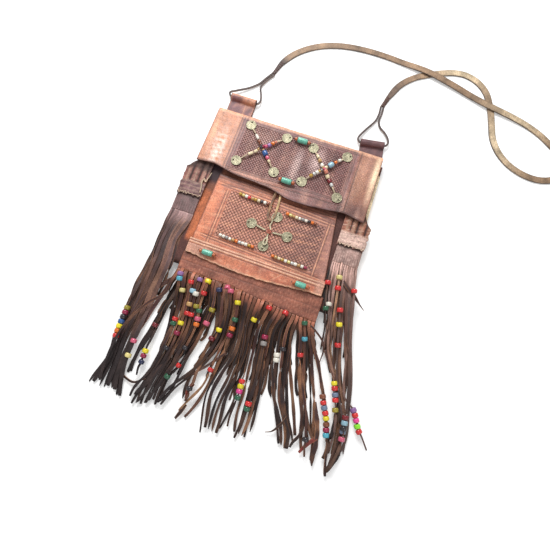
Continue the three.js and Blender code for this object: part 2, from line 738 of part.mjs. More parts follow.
// Tabs: a strip folded back on itself round the tunnel that the lace runs through
function makeTab(width, length) {
  const outer = tunnelRadius + tabThickness;
  const layers = 2 * tabThickness;
  const single = foldOuter(touch + tabThickness + touch) + touch;
  const double = foldOuter(touch + layers + touch) + touch;
  const middle = bodyTop + foldBulge + length;
  const profile = new THREE.Shape();
  const meet = Math.asin((layers - outer) / outer);
  profile.moveTo(single, touch);
  profile.absarc(middle, touch + outer, outer, -Math.PI / 2, Math.PI - meet, false);
  profile.lineTo(double, touch + layers);
  profile.lineTo(double, touch + tabThickness);
  profile.lineTo(single, touch + tabThickness);
  const tunnel = new THREE.Path();
  tunnel.absarc(middle, touch + outer, tunnelRadius, 0, 2 * Math.PI, true);
  profile.holes.push(tunnel);
  const geometry = new THREE.ExtrudeGeometry(profile, {
    depth: width,
    bevelEnabled: false,
    curveSegments: 6,
  });
  geometry.translate(-bodyTop, 0, -width / 2);
  geometry.rotateX(Math.PI / 2);
  geometry.rotateZ(Math.PI / 2);
  return geometry;
}
const turn = THREE.MathUtils.degToRad(tabTurn);
const rightLift = (tabWidthRight / 2) * Math.tan(turn);
const leftTab = addPiece('tab_left', makeTab(tabWidthLeft, tabLengthLeft), darkLeather);
leftTab.position.set(tabLeft, bodyTop, 0);
const rightTab = addPiece('tab_right', makeTab(tabWidthRight, tabLengthRight), darkLeather);
rightTab.position.set(tabRight, bodyTop + rightLift, 0);
rightTab.rotation.z = turn;

// Laces that tie the strap to the tabs, and the thong that closes the flap
function makeLace(points, width, steps, sides) {
  return sweep(route(points), steps, () => polygon(width / 2, sides));
}

// Both are given from the middle of the tunnel, in the tab's own directions
const tunnelZ = touch + tunnelRadius + tabThickness;
const leftLace = [
  [25, 59, 2.2], [18, 47, 2.2], [12, 36, 2.2], [-1, 23, 3], [-15, 13, 4.6],
  [-24.5, 5.5, tunnelZ], [-21.5, 0.3, tunnelZ], [-15, 0, tunnelZ], [15, 0, tunnelZ],
  [21.5, 0.3, tunnelZ], [24, 6, 5],
  [21, 18, 3.4], [16, 31, 2.4], [21, 45, 2.2], [29, 58, 2.2],
];
const rightLace = [
  [5.5, 66, 2.2], [4, 52, 2.2], [0, 40, 2.2], [-13, 22, 3.4], [-22, 6, 5],
  [-19.5, 0.3, tunnelZ], [-13, 0, tunnelZ], [13, 0, tunnelZ], [19.5, 0.3, tunnelZ],
  [22.5, 5, tunnelZ], [22, 11, 5],
  [17, 21, 3.4], [8, 31, 2.6], [5.5, 41, 2.2], [8, 53, 2.2], [9.5, 65, 2.2],
];
const lacePieces = [
  ['lace_left', leftLace, leftTab, tabLengthLeft],
  ['lace_right', rightLace, rightTab, tabLengthRight],
];
lacePieces.forEach(([name, points, tab, length]) => {
  const local = points.map(([x, y, z]) => [x, y + foldBulge + length, z]);
  const lace = addPiece(name, makeLace(local, laceWidth, 22, 8), darkLeather);
  lace.position.copy(tab.position);
  lace.rotation.copy(tab.rotation);
});

// Strap: one flat length from the right lace, round a loop beyond the bag and over to the left lace
const strapRoute = [
  [98.9, 212.4, 1.5], [104, 231, 1.4], [115, 257, 1.4], [131, 275, 1.4], [145, 284.5, 1.4],
  [157, 291, 1.4], [171, 298, 1.4], [187, 304, 1.4], [206, 306, 1.4], [226, 300, 1.4],
  [242, 287, 1.4], [251, 271, 1.4], [257, 256, 1.4], [263, 236, 1.4], [270, 214, 1.4],
  [283, 195, 1.4], [303, 180, 1.4], [328, 172, 1.4], [350, 172, 1.4], [369, 180, 1.4],
  [379, 197, 1.4], [374, 217, 1.4], [355, 231, 1.4], [336, 243, 1.4], [314, 252, 1.8],
  [287, 258, 3.4], [254, 263.5, 4.6], [222, 272, 3.4], [196, 279.5, 4], [170, 286, 4.7],
  [152, 290, 4.7], [134, 292.5, 4], [112, 295, 2], [80, 298, 1.4], [44, 298, 1.4],
  [8, 293, 1.4], [-24, 281, 1.4], [-51, 261, 1.4], [-68, 237, 1.4], [-76, 212, 1.5],
];

function makeStrap() {
  const half = strapWidth / 2;
  const flat = strapThickness / 2;
  const section = new THREE.Shape([
    [flat, half * 0.8],
    [flat * 0.5, half],
    [-flat * 0.5, half],
    [-flat, half * 0.8],
    [-flat, -half * 0.8],
    [-flat * 0.5, -half],
    [flat * 0.5, -half],
    [flat, -half * 0.8],
  ].map(([x, y]) => new THREE.Vector2(x, y)));
  return new THREE.ExtrudeGeometry(section, {
    steps: strapSteps,
    extrudePath: route(strapRoute),
  });
}
addPiece('strap', makeStrap(), strapLeather);

// The closing thong hangs from under the flap and is hooked over the uppermost coin of the front
const frontMiddleX = 3;
const frontMiddleY = bodyBottom + frontMiddleShare * bodyLength;
const loopLevel = onFront + coinThickness + touch + loopThong / 2;
const closingRoute = [
  [-9, 62, loopLevel], [-10, 44, loopLevel], [-10, 32, loopLevel], [-8.5, 20, loopLevel],
  [-4, 16, loopLevel], [-0.5, 21, loopLevel], [0, 34, loopLevel], [-1, 48, loopLevel],
  [-2.5, 62, loopLevel],
].map(([x, up, z]) => [frontMiddleX + x, frontMiddleY + up, z]);
addPiece('closing_thong', makeLace(closingRoute, loopThong, 12, 6), strapLeather);

// Coins: thin discs with one hole near the rim. hole is the direction of the hole in degrees.
function makeCoin(hole) {
  const disc = new THREE.Shape();
  disc.absarc(0, 0, coinRadius, 0, 2 * Math.PI, false);
  const eye = new THREE.Path();
  const angle = THREE.MathUtils.degToRad(hole);
  const reach = coinRadius * 0.58;
  eye.absarc(reach * Math.cos(angle), reach * Math.sin(angle), coinHole, 0, 2 * Math.PI, true);
  disc.holes.push(eye);
  return new THREE.ExtrudeGeometry(disc, {
    depth: coinThickness,
    bevelEnabled: false,
    curveSegments: 5,
  });
}

function addCoin(name, x, y, z, hole) {
  const coin = addPiece(name, makeCoin(hole), coinMetal);
  coin.position.set(x, y, z);
}

// Eight coins on the flap: x, distance below the hinge line, direction of the hole
const flapCoins = [
  [-74, 8.5, 90], [-75, 69, 190], [-18, 11.5, 25], [-19, 68.5, 300],
  [23, 14, 120], [73, 11.5, 20], [23, 69.5, 200], [77, 76.5, 320],
];

// The highest point of the flap under a coin decides its level
function flapSeat(x, y) {
  const around = [-1, 0, 1];
  const heights = around.flatMap((i) =>
    around.map((j) => flapHeight(x + i * coinRadius, y + j * coinRadius)),
  );
  return Math.max(...heights) + flapThickness + touch;
}

flapCoins.forEach(([x, down, hole], index) => {
  const y = bodyTop - down;
  addCoin(`flap_coin_${index + 1}`, x, y, flapSeat(x, y), hole);
});

// Four coins round the middle of the front: offsets from the middle, direction of the hole
const frontCoins = [
  [4, 24, 60], [-27, 4, 180], [26, 1, 10], [-1, -22, 270],
];
frontCoins.forEach(([across, up, hole], index) => {
  addCoin(`front_coin_${index + 1}`, frontMiddleX + across, frontMiddleY + up, onFront, hole);
});

// Strings of beads. Each bead is its distance along the string, radius and length.
function makeString(points, beads, sides) {
  const places = points.map(([x, y, z]) => new THREE.Vector3(x, y, z));
  return threaded(places, () => strip(threadWidth, threadWidth), beads, sides);
}

// Two crossed strings between each four coins of the flap, the second one lying over the first.
// Beads are counted from the first coin's middle.
const crossings = [
  {
    coins: [0, 3],
    beads: [[24, 2.1, 8], [32, 2.4, 4.4], [52, 3.8, 8], [60, 2.6, 5], [65.5, 2.2, 4]],
  },
  {
    coins: [1, 2],
    beads: [[23, 2.2, 8], [31.5, 2.2, 6], [49.5, 2.6, 4.5], [55.5, 3, 5], [61.5, 2.6, 4.5]],
  },
  {
    coins: [6, 5],
    beads: [[16, 2.6, 4.6], [21, 2.4, 4], [26, 2.6, 4.6], [41, 2.4, 4], [49, 3.8, 8], [57, 2.2, 4], [64, 2.2, 5]],
  },
  {
    coins: [4, 7],
    beads: [[16, 2.2, 6], [23, 2.6, 5], [31, 2.6, 5], [45, 2.8, 6], [52.5, 3, 6], [60, 3, 6], [66.5, 2.4, 5]],
  },
];
const stringReach = coinRadius + 2 * touch;

function flapStringRoute(from, to, middleRise, level) {
  const [ax, ad] = from;
  const [bx, bd] = to;
  const span = Math.hypot(bx - ax, bd - ad);
  const stops = [stringReach, span * 0.2, span * 0.4, span * 0.5, span * 0.6, span * 0.8, span - stringReach];
  const rises = [1, level, level, level + middleRise, level, level, 1];
  return stops.map((stop, index) => {
    const x = mix(ax, bx, stop / span);
    const y = bodyTop - mix(ad, bd, stop / span);
    return [x, y, flapHeight(x, y) + flapThickness + touch + rises[index]];
  });
}

crossings.forEach(({ coins, beads }, index) => {
  const [from, to] = coins.map((coin) => flapCoins[coin]);
  const level = Math.max(...beads.map(([, radius]) => radius)) + 2 * touch;
  const middleRise = index % 2 === 0 ? 0 : 4.6;
  const beadsHere = beads.map(([at, radius, length]) => [at - stringReach, radius, length]);
  const points = flapStringRoute(from, to, middleRise, level);
  addPiece(`flap_string_${index + 1}`, makeString(points, beadsHere, 6), glassBead);
});

// Long stones with a small bead at each end, two on the flap and two on the band
function makeStone() {
  const reach = stoneLength / 2 + 1.5 * seedLength;
  const beads = [
    [reach - stoneLength / 2 - seedLength / 2, seedRadius, seedLength],
    [reach, stoneRadius, stoneLength],
    [reach + stoneLength / 2 + seedLength / 2, seedRadius, seedLength],
  ];
  return makeString([[-reach, 0, 0], [reach, 0, 0]], beads, 6);
}

function addStone(name, x, y, under) {
  const piece = addPiece(name, makeStone(), stone);
  piece.position.set(x, y, under + touch + stoneRadius);
}
addStone('flap_stone_1', 5, bodyTop - 10, flapHeight(5, bodyTop - 14) + flapThickness);
addStone('flap_stone_2', 3, bodyTop - 77, flapHeight(3, bodyTop - 81) + flapThickness);
addStone('band_stone_1', -66, bodyBottom + 23, onFront + bandThickness);
addStone('band_stone_2', 68, bodyBottom + 22, onFront + bandThickness);

// Four rows of seed beads on the front: left end, height above the middle as a share of the body's
// length, and how long the row is
const beadRows = [
  [-58, 0.17, 46], [14, 0.142, 46], [-64, -0.114, 52], [14, -0.134, 52],
];
beadRows.forEach(([left, up, length], index) => {
  const level = onFront + seedRadius;
  const y = frontMiddleY + up * bodyLength;
  const x = frontMiddleX + left;
  const beads = [];
  const count = Math.floor(length / (seedLength + 1.6));
  for (let bead = 0; bead < count; bead += 1) {
    beads.push([((bead + 0.5) * length) / count, seedRadius - 0.3 * (bead % 2), seedLength]);
  }
  const points = [[x, y, level], [x + length / 2, y - 1, level], [x + length, y - 1.5, level]];
  addPiece(`bead_row_${index + 1}`, makeString(points, beads, 6), glassBead);
});

// Wire stems from the three lower coins to a leather knot in the middle
const stemRise = 1.2;
const stems = [
  [-27 + stringReach, 3, -5.5, 0.5],
  [26 - stringReach, 1, 5.5, 0],
];
stems.forEach(([fromX, fromY, toX, toY], index) => {
  const z = onFront + stemRise;
  const points = [
    [frontMiddleX + fromX, frontMiddleY + fromY, z],
    [frontMiddleX + (fromX + toX) / 2, frontMiddleY + (fromY + toY) / 2, z],
    [frontMiddleX + toX, frontMiddleY + toY, z],
  ];
  addPiece(`coin_stem_${index + 1}`, makeLace(points, 1.8, 3, 6), strapLeather);
});
const knot = addPiece('front_knot', new THREE.SphereGeometry(3.4, 8, 5), frontLeather);
knot.scale.set(1.1, 1.1, 0.55);
knot.position.set(frontMiddleX, frontMiddleY, onFront + 3.4 * 0.55);

export default bag;
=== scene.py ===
"""Looks of a fringed shoulder bag of tooled leather that lies on its back. Lengths are millimetres."""

import math

import bmesh
import bpy
import numpy as np
from mathutils import Matrix, Vector


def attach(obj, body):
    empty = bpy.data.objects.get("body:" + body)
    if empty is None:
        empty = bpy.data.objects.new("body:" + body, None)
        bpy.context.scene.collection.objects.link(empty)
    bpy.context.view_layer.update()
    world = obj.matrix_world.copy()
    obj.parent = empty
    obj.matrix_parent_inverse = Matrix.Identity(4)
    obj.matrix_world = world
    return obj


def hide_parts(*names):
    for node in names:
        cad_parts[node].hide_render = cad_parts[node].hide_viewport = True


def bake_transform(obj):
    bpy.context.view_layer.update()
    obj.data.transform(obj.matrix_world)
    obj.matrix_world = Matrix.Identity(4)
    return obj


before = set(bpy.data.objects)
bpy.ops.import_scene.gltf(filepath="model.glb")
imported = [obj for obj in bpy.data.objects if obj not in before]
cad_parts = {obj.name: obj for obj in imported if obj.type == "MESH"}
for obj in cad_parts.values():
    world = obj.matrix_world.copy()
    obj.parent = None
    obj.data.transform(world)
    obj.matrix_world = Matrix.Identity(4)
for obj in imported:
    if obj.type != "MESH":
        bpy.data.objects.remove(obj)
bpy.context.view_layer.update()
MM = 0.001
BAG, FLAP = "bag", "flap"

# Camera, as the photograph was taken: nearly straight down, turned and a little from the bag's foot
ROLL, TILT = math.radians(19), math.radians(12)
LENS, SENSOR_WIDTH = 28.8, 36
CAMERA_PLACE = Vector((71.4, -208.8, 602.5))
image_right = Vector((math.cos(ROLL), math.sin(ROLL), 0))
floor_down = Vector((math.sin(ROLL), -math.cos(ROLL), 0))
forward = -math.sin(TILT) * floor_down - math.cos(TILT) * Vector((0, 0, 1))
image_down = math.cos(TILT) * floor_down - math.sin(TILT) * Vector((0, 0, 1))
camera = bpy.data.objects.new("camera", bpy.data.cameras.new("camera"))
bpy.context.scene.collection.objects.link(camera)
camera.data.lens, camera.data.sensor_width = LENS, SENSOR_WIDTH
turned = Matrix((image_right, -image_down, -forward)).transposed().to_4x4()
camera.matrix_world = Matrix.Translation(CAMERA_PLACE * MM) @ turned
camera.data.clip_start, camera.data.clip_end = 0.01, 20
bpy.context.scene.camera = camera


# Curves and small functions
def ease(t):
    t = np.clip(t, 0, 1)
    return t * t * (3 - 2 * t)


def mix(a, b, t):
    return a + (b - a) * t


def wobble(n):
    return np.sin(n * 12.9898 + 4.1) * np.cos(n * 4.37 + 1.3)


def smooth_noise(x, y, scale, seed):
    """Slow waves in two directions, from -1 to 1."""
    r = np.random.default_rng(seed)
    total = 0
    for _ in range(7):
        angle, phase = r.uniform(0, math.tau, 2)
        size = scale * r.uniform(0.6, 1.7)
        total = total + np.sin((x * math.cos(angle) + y * math.sin(angle)) * math.tau / size + phase)
    return total / 4


def interpolated(points, run, wanted):
    """Places on a line, where run goes with its points."""
    return np.array([np.interp(wanted, run, points[:, axis]) for axis in range(points.shape[1])]).T


def spaced(points, count):
    """Evenly spaced points along a line."""
    points = np.asarray(points, float)
    run = np.concatenate([[0], np.cumsum(np.linalg.norm(np.diff(points, axis=0), axis=1))])
    wanted = np.linspace(0, run[-1], count)
    return interpolated(points, run, wanted)


def spline(points, count):
    """Evenly spaced points on a smooth curve through the given ones."""
    p = np.array(points, float)
    q = np.vstack([2 * p[0] - p[1], p, 2 * p[-1] - p[-2]])
    dense = []
    t = np.linspace(0, 1, 24, endpoint=False)[:, None]
    for i in range(1, len(q) - 2):
        a, b, c, d = q[i - 1 : i + 3]
        ab, bc, cd = (max(np.linalg.norm(k), 1e-6) ** 0.5 for k in (b - a, c - b, d - c))
        one = ((b - a) / ab - (c - a) / (ab + bc) + (c - b) / bc) * bc
        two = ((c - b) / bc - (d - b) / (bc + cd) + (d - c) / cd) * bc
        square, cube = -3 * b + 3 * c - 2 * one - two, 2 * b - 2 * c + one + two
        dense.append(b + one * t + square * t**2 + cube * t**3)
    dense.append(p[-1:])
    return spaced(np.vstack(dense), count)


def colour(r, g, b):
    """A colour given as it looks on a screen, turned into light."""
    c = np.array([r, g, b], float) / 255
    return np.where(c <= 0.04045, c / 12.92, ((c + 0.055) / 1.055) ** 2.4)


def paint(base, *layers):
    """Colours over a field: each layer is a mask from 0 to 1 and its colour."""
    out = np.asarray(base, float)
    for mask, tint in layers:
        mask = np.clip(np.asarray(mask, float), 0, 1)[..., None]
        out = out * (1 - mask) + np.asarray(tint) * mask
    return out


def spot(x, y, cx, cy, rx, ry):
    """A soft patch, 1 in its middle."""
    return np.exp(-(((x - cx) / rx) ** 2) - ((y - cy) / ry) ** 2)


def grid(rows, columns):
    """Two fields from 0 to 1, one that grows with the rows and one that grows with the columns."""
    return np.mgrid[0:1:complex(rows), 0:1:complex(columns)]


def between(value, low, high, soft):
    """1 from low to high, with soft ends."""
    return ease((value - low) / soft + 0.5) * ease((high - value) / soft + 0.5)


def groove(distance, width):
    """1 on a line and 0 away from it."""
    return np.exp(-((distance / width) ** 2))


# Meshes
class Skin:
    """Gathers the surfaces of one piece."""

    def __init__(self):
        self.points, self.faces, self.uv, self.tint, self.slots = [], [], [], [], []
        self.count = 0
        self.tooled = None

    def add(self, points, faces, uv, tint, slots):
        points = np.asarray(points, float).reshape(-1, 3)
        tint = np.broadcast_to(np.asarray(tint, float), points.shape)
        self.points.append(points)
        self.uv.append(np.asarray(uv, float).reshape(-1, 2))
        self.tint.append(tint)
        self.faces += [tuple(int(i) + self.count for i in face) for face in faces]
        self.slots += list(slots)
        self.count += len(points)

    def lattice(self, mask):
        """Where the outer face of the only sheet carries the pressed lattice, from 0 to 1."""
        self.tooled = np.concatenate([np.zeros(mask.size), mask.ravel()])

    def make(self, name, materials, body=BAG, replaces=(), slot=None, ride=True):
        mesh = bpy.data.meshes.new(name)
        points = np.vstack(self.points) * MM
        mesh.from_pydata(points.tolist(), [], self.faces)
        outward = bmesh.new()
        outward.from_mesh(mesh)
        bmesh.ops.recalc_face_normals(outward, faces=outward.faces)
        outward.to_mesh(mesh)
        outward.free()
        corner = np.zeros(len(mesh.loops), int)
        mesh.loops.foreach_get("vertex_index", corner)
        layer = mesh.uv_layers.new(name="UVMap")
        layer.data.foreach_set("uv", np.vstack(self.uv)[corner].ravel())
        tint = np.vstack(self.tint)
        tint = np.column_stack([tint, np.zeros(len(tint)) if self.tooled is None else self.tooled])
        attribute = mesh.attributes.new("paint", "FLOAT_COLOR", "POINT")
        attribute.data.foreach_set("color", tint.astype(np.float32).ravel())
        mesh.polygons.foreach_set("material_index", np.array(self.slots, dtype=np.int32))
        mesh.polygons.foreach_set("use_smooth", np.ones(len(self.faces), dtype=bool))
        for material in materials:
            mesh.materials.append(material)
        mesh.update()
        obj = bpy.data.objects.new(name, mesh)
        bpy.context.scene.collection.objects.link(obj)
        if ride:
            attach(obj, body)
        if replaces:
            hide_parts(*replaces)
        return obj


def grid_faces(rows, columns, start=0, flip=False):
    a = start + np.arange(rows - 1)[:, None] * columns + np.arange(columns - 1)[None, :]
    quads = np.stack([a, a + 1, a + columns + 1, a + columns], axis=-1).reshape(-1, 4)
    return quads[:, ::-1] if flip else quads


def ring_faces(count, sides):
    """Faces between closed rings, of which the last joins the first."""
    faces = []
    for i in range(count):
        k = (i + 1) % count
        for j in range(sides):
            n = (j + 1) % sides
            faces.append((i * sides + j, i * sides + n, k * sides + n, k * sides + j))
    return faces


def shell(skin, centre, thick, relief=0.0, top=None, edge=(0.3, 0.2, 0.15), under=None, uv=None):
    """A leather sheet of that thickness about its middle surface, with relief on its outer face."""
    rows, columns = centre.shape[:2]
    normal = np.cross(np.gradient(centre, axis=1), np.gradient(centre, axis=0))
    normal /= np.maximum(np.linalg.norm(normal, axis=-1, keepdims=True), 1e-9)
    upper = centre + normal * (np.asarray(thick)[..., None] / 2 + np.asarray(relief)[..., None])
    lower = centre - normal * (np.asarray(thick)[..., None] / 2)
    total = rows * columns
    index = np.arange(total).reshape(rows, columns)
    faces = [*grid_faces(rows, columns, total), *grid_faces(rows, columns, 0, flip=True)]
    slots = [0] * ((rows - 1) * (columns - 1)) + [1] * ((rows - 1) * (columns - 1))
    rim = [*index[0, :], *index[1:, -1], *index[-1, -2::-1], *index[-2:0:-1, 0]]
    for here, there in zip(rim, rim[1:] + rim[:1]):
        faces.append((here, there, there + total, here + total))
        slots.append(1)
    top = np.broadcast_to(np.asarray(top, float), centre.shape).copy()
    rims = np.zeros((rows, columns), bool)
    rims[[0, -1], :] = True
    rims[:, [0, -1]] = True
    top[rims] = 0.4 * top[rims] + 0.6 * np.asarray(edge)
    under = np.broadcast_to(np.asarray(edge if under is None else under, float), centre.shape)
    if uv is None:
        uv = centre[..., :2]
    skin.add(
        np.concatenate([lower.reshape(-1, 3), upper.reshape(-1, 3)]),
        faces,
        np.concatenate([uv.reshape(-1, 2), uv.reshape(-1, 2)]),
        np.concatenate([under.reshape(-1, 3), top.reshape(-1, 3)]),
        slots,
    )


def sheet(x, y, level, thick, relief, tint, edge, under):
    """A skin that starts with one lying sheet, its middle at that level."""
    skin = Skin()
    shell(skin, np.stack([x, y, level + 0 * x], axis=-1), thick, relief, tint, edge, under)
    return skin


def frames(path, twist=0.0):
    """Directions across and up at each point of a path, turned about it by twist."""
    along = np.gradient(path, axis=0)
    along /= np.maximum(np.linalg.norm(along, axis=1, keepdims=True), 1e-9)
    across = np.cross(along, (0, 0, 1))
    across /= np.maximum(np.linalg.norm(across, axis=1, keepdims=True), 1e-9)
    up = np.cross(across, along)
    turn = np.broadcast_to(np.asarray(twist, float), len(path))[:, None]
    return along, across * np.cos(turn) + up * np.sin(turn), up * np.cos(turn) - across * np.sin(turn)


# Section of a cut strip, in shares of its width and thickness, and the share of the cut edge's tint
STRIP = np.array(
    [(0.5, -0.3), (0.5, 0.25), (0.47, 0.46), (0.38, 0.5), (0.12, 0.45), (-0.12, 0.45), (-0.38, 0.5),
     (-0.47, 0.46), (-0.5, 0.25), (-0.5, -0.3), (-0.42, -0.5), (0.42, -0.5)]
)
STRIP_EDGE = np.array([1, 1, 0.7, 0.12, 0, 0, 0.12, 0.7, 1, 1, 0.5, 0.5])


def ribbon(skin, path, width, thick, tint, edge, twist=0.0, start=0.0):
    """A cut strip of leather along a path: its cut edges take their own tint."""
    count, sides = len(path), len(STRIP)
    _, across, up = frames(path, twist)
    width = np.broadcast_to(np.asarray(width, float), count)
    thick = np.broadcast_to(np.asarray(thick, float), count)
    points = (
        path[:, None, :]
        + across[:, None, :] * (STRIP[None, :, 0, None] * width[:, None, None])
        + up[:, None, :] * (STRIP[None, :, 1, None] * thick[:, None, None])
    )
    ring = np.arange(sides)
    faces, slots = [], []
    for step in range(count - 1):
        a = step * sides + ring
        b = step * sides + (ring + 1) % sides
        faces += list(np.stack([a, a + sides, b + sides, b], axis=-1))
        slots += [0] * sides
    faces += [tuple(ring), tuple((count - 1) * sides + ring)]
    slots += [0, 0]
    run = np.concatenate([[0], np.cumsum(np.linalg.norm(np.diff(path, axis=0), axis=1))])
    uv = np.stack(np.broadcast_arrays(STRIP[None, :, 0] * 5 + start, run[:, None]), axis=-1)
    tint = np.broadcast_to(np.asarray(tint, float), (count, 3))[:, None, :]
    edge = np.broadcast_to(np.asarray(edge, float), (count, 3))[:, None, :]
    tints = tint + (edge - tint) * STRIP_EDGE[None, :, None]
    skin.add(points, faces, uv, tints.reshape(-1, 3), slots)


def lathe(skin, centre, direction, profile, tint, sides=18):
    """A body turned about a direction: profile gives distance along it and radius, as a closed line."""
    direction = np.asarray(direction, float) / np.linalg.norm(direction)
    one = np.cross(direction, (0, 0, 1) if abs(direction[2]) < 0.9 else (1, 0, 0))
    one /= np.linalg.norm(one)
    two = np.cross(direction, one)
    angles = np.arange(sides) * math.tau / sides
    around = np.cos(angles)[:, None] * one + np.sin(angles)[:, None] * two
    profile = np.asarray(profile, float)
    points = (
        np.asarray(centre, float)
        + profile[:, None, 0, None] * direction
        + profile[:, None, 1, None] * around[None, :, :]
    )
    faces = ring_faces(len(profile), sides)
    uv = np.stack(np.broadcast_arrays(angles[None, :] * 4, profile[:, 0, None]), axis=-1)
    skin.add(points, faces, uv, tint, [0] * len(faces))


def mirrored(profile):
    """Half a profile and its other half."""
    return profile + [(-along, radius) for along, radius in profile[::-1]]


def bead(skin, centre, direction, radius, length, tint, hole=0.42, sides=18):
    """A bead with a hole, its ends rounded."""
    half = length / 2
    inner = radius * hole
    profile = mirrored([
        (-half * 0.9, inner), (-half, inner * 1.25), (-half, radius * 0.72), (-half * 0.86, radius * 0.9),
        (-half * 0.5, radius),
    ])
    lathe(skin, centre, direction, profile, tint, sides)


# Materials
def node(tree, kind, **values):
    """A node with its settings and inputs. A socket given for an input is linked to it."""
    made = tree.nodes.new(kind)
    for key, value in values.items():
        if hasattr(made, key):
            setattr(made, key, value)
        elif isinstance(value, bpy.types.NodeSocket):
            tree.links.new(value, made.inputs[key.replace("_", " ")])
        else:
            made.inputs[key.replace("_", " ")].default_value = value
    return made


def surface(name, roughness, metallic=0.0):
    """A new material with its tree and shader, the piece's own coordinates and its paint."""
    material = bpy.data.materials.new(name)
    material.use_nodes = True
    tree = material.node_tree
    shader = tree.nodes["Principled BSDF"]
    shader.inputs["Roughness"].default_value = roughness
    shader.inputs["Metallic"].default_value = metallic
    where = node(tree, "ShaderNodeUVMap").outputs["UV"]
    return material, tree, shader, where, node(tree, "ShaderNodeAttribute", attribute_name="paint")


def noise(tree, where, scale, detail=3.0, rough=0.55, stretch=None):
    if stretch:
        where = node(tree, "ShaderNodeMapping", Scale=stretch, Vector=where).outputs["Vector"]
    made = node(tree, "ShaderNodeTexNoise", Scale=scale, Detail=detail, Roughness=rough, Vector=where)
    return made.outputs["Fac"]


def toned(tree, tint, value, *stops, share=1.0):
    """A tint multiplied by a ramp over a value. A stop is its place and a grey or a colour."""
    ramp = node(tree, "ShaderNodeValToRGB", Fac=value)
    elements = ramp.color_ramp.elements
    elements[0].position, elements[1].position = stops[0][0], stops[-1][0]
    for position, _ in stops[1:-1]:
        elements.new(position)
    for element, (_, tone) in zip(elements, stops):
        element.color = (*(tone if hasattr(tone, "__len__") else (tone, tone, tone)), 1)
    made = node(tree, "ShaderNodeMix", data_type="RGBA", blend_type="MULTIPLY")
    made.inputs[0].default_value = share
    tree.links.new(tint, made.inputs[6])
    tree.links.new(ramp.outputs["Color"], made.inputs[7])
    return made.outputs[2]


def math_node(tree, operation, *values):
    made = node(tree, "ShaderNodeMath", operation=operation)
    for socket, value in zip(made.inputs, values):
        if isinstance(value, (int, float)):
            socket.default_value = value
        else:
            tree.links.new(value, socket)
    return made.outputs["Value"]


def bumped(tree, height, strength, distance, **under):
    made = node(tree, "ShaderNodeBump", Strength=strength, Distance=distance, Height=height, **under)
    return made.outputs["Normal"]


def uneven_shine(tree, shader, value, low, high):
    shine = node(tree, "ShaderNodeMapRange", To_Min=low, To_Max=high, Value=value)
    tree.links.new(shine.outputs["Result"], shader.inputs["Roughness"])


def pressed_lattice(tree, where, mask, pitch):
    """Raised diamonds between crossing grooves: 0 in a groove, 1 on a diamond, and 1 off the mask."""
    parts = node(tree, "ShaderNodeSeparateXYZ", Vector=where)
    lows = []
    for kind in ("ADD", "SUBTRACT"):
        across = math_node(tree, kind, parts.outputs["X"], parts.outputs["Y"])
        wave = math_node(tree, "SINE", math_node(tree, "MULTIPLY", across, math.pi / pitch))
        lows.append(math_node(tree, "ABSOLUTE", wave))
    low = math_node(tree, "MINIMUM", *lows)
    raised = node(tree, "ShaderNodeMapRange", interpolation_type="SMOOTHSTEP", From_Max=0.62, Value=low)
    sunk = math_node(tree, "SUBTRACT", 1.0, raised.outputs["Result"])
    return math_node(tree, "SUBTRACT", 1.0, math_node(tree, "MULTIPLY", sunk, mask))


def creases(tree, tint, where, share):
    """Bent cracks and coarse blotches, as old leather has them."""
    swirl = node(tree, "ShaderNodeTexNoise", Scale=0.2, Vector=where)
    spread = node(tree, "ShaderNodeVectorMath", operation="SCALE", Scale=5.0)
    tree.links.new(swirl.outputs["Color"], spread.inputs[0])
    bent = node(tree, "ShaderNodeVectorMath")
    tree.links.new(where, bent.inputs[0])
    tree.links.new(spread.outputs["Vector"], bent.inputs[1])
    moved = bent.outputs["Vector"]
    cells = node(tree, "ShaderNodeTexVoronoi", feature="DISTANCE_TO_EDGE", Scale=0.3, Vector=moved)
    tint = toned(tree, tint, cells.outputs["Distance"], (0.0, 0.5), (0.12, 1.0), (0.4, 1.15), share=share)
    coarse = noise(tree, where, 0.3, 3, 0.6)
    return toned(tree, tint, coarse, (0.32, 0.6), (0.5, 1.0), (0.68, 1.3), share=share)


def leather(
    name, roughness=0.5, stain=0.35, grain=1.0, bump=0.3, fibre=0.0, specular=0.5, tooled=0.0, creased=0.0
):
    """Worn leather: its colour comes from the paint, with stains, pores and fibres over it. tooled is the
    distance between the lines of its pressed lattice."""
    material, tree, shader, where, painted = surface(name, roughness)
    shader.inputs["Specular IOR Level"].default_value = specular
    large = noise(tree, where, 0.055 * grain, 4, 0.6)
    fine = noise(tree, where, 0.7 * grain, 5, 0.65)
    streak = noise(tree, where, 0.5 * grain, 4, 0.6, stretch=(1.0, 0.16, 1.0))
    tint = toned(tree, painted.outputs["Color"], large, (0.3, 1 - stain), (0.7, 1 + stain * 0.6))
    tint = toned(tree, tint, fine, (0.3, 0.55), (0.5, 1.0), (0.7, 1.4))
    tint = toned(tree, tint, streak, (0.3, 0.8), (0.7, 1.2), share=0.4 + 0.6 * fibre)
    if creased:
        tint = creases(tree, tint, where, creased)
    under = {}
    if tooled:
        raised = pressed_lattice(tree, where, painted.outputs["Alpha"], tooled)
        tint = toned(tree, tint, raised, (0.0, (0.2, 0.15, 0.17)), (0.5, 0.85), (1.0, 1.3))
        under["Normal"] = bumped(tree, raised, 0.7, 0.0007)
    tree.links.new(tint, shader.inputs["Base Color"])
    uneven_shine(tree, shader, fine, roughness - 0.12, roughness + 0.18)
    pores = node(tree, "ShaderNodeTexVoronoi", Scale=1.1 * grain, Vector=where)
    height = math_node(tree, "ADD", pores.outputs["Distance"], streak if fibre else fine)
    tree.links.new(bumped(tree, height, bump, 0.0004, **under), shader.inputs["Normal"])
    return material


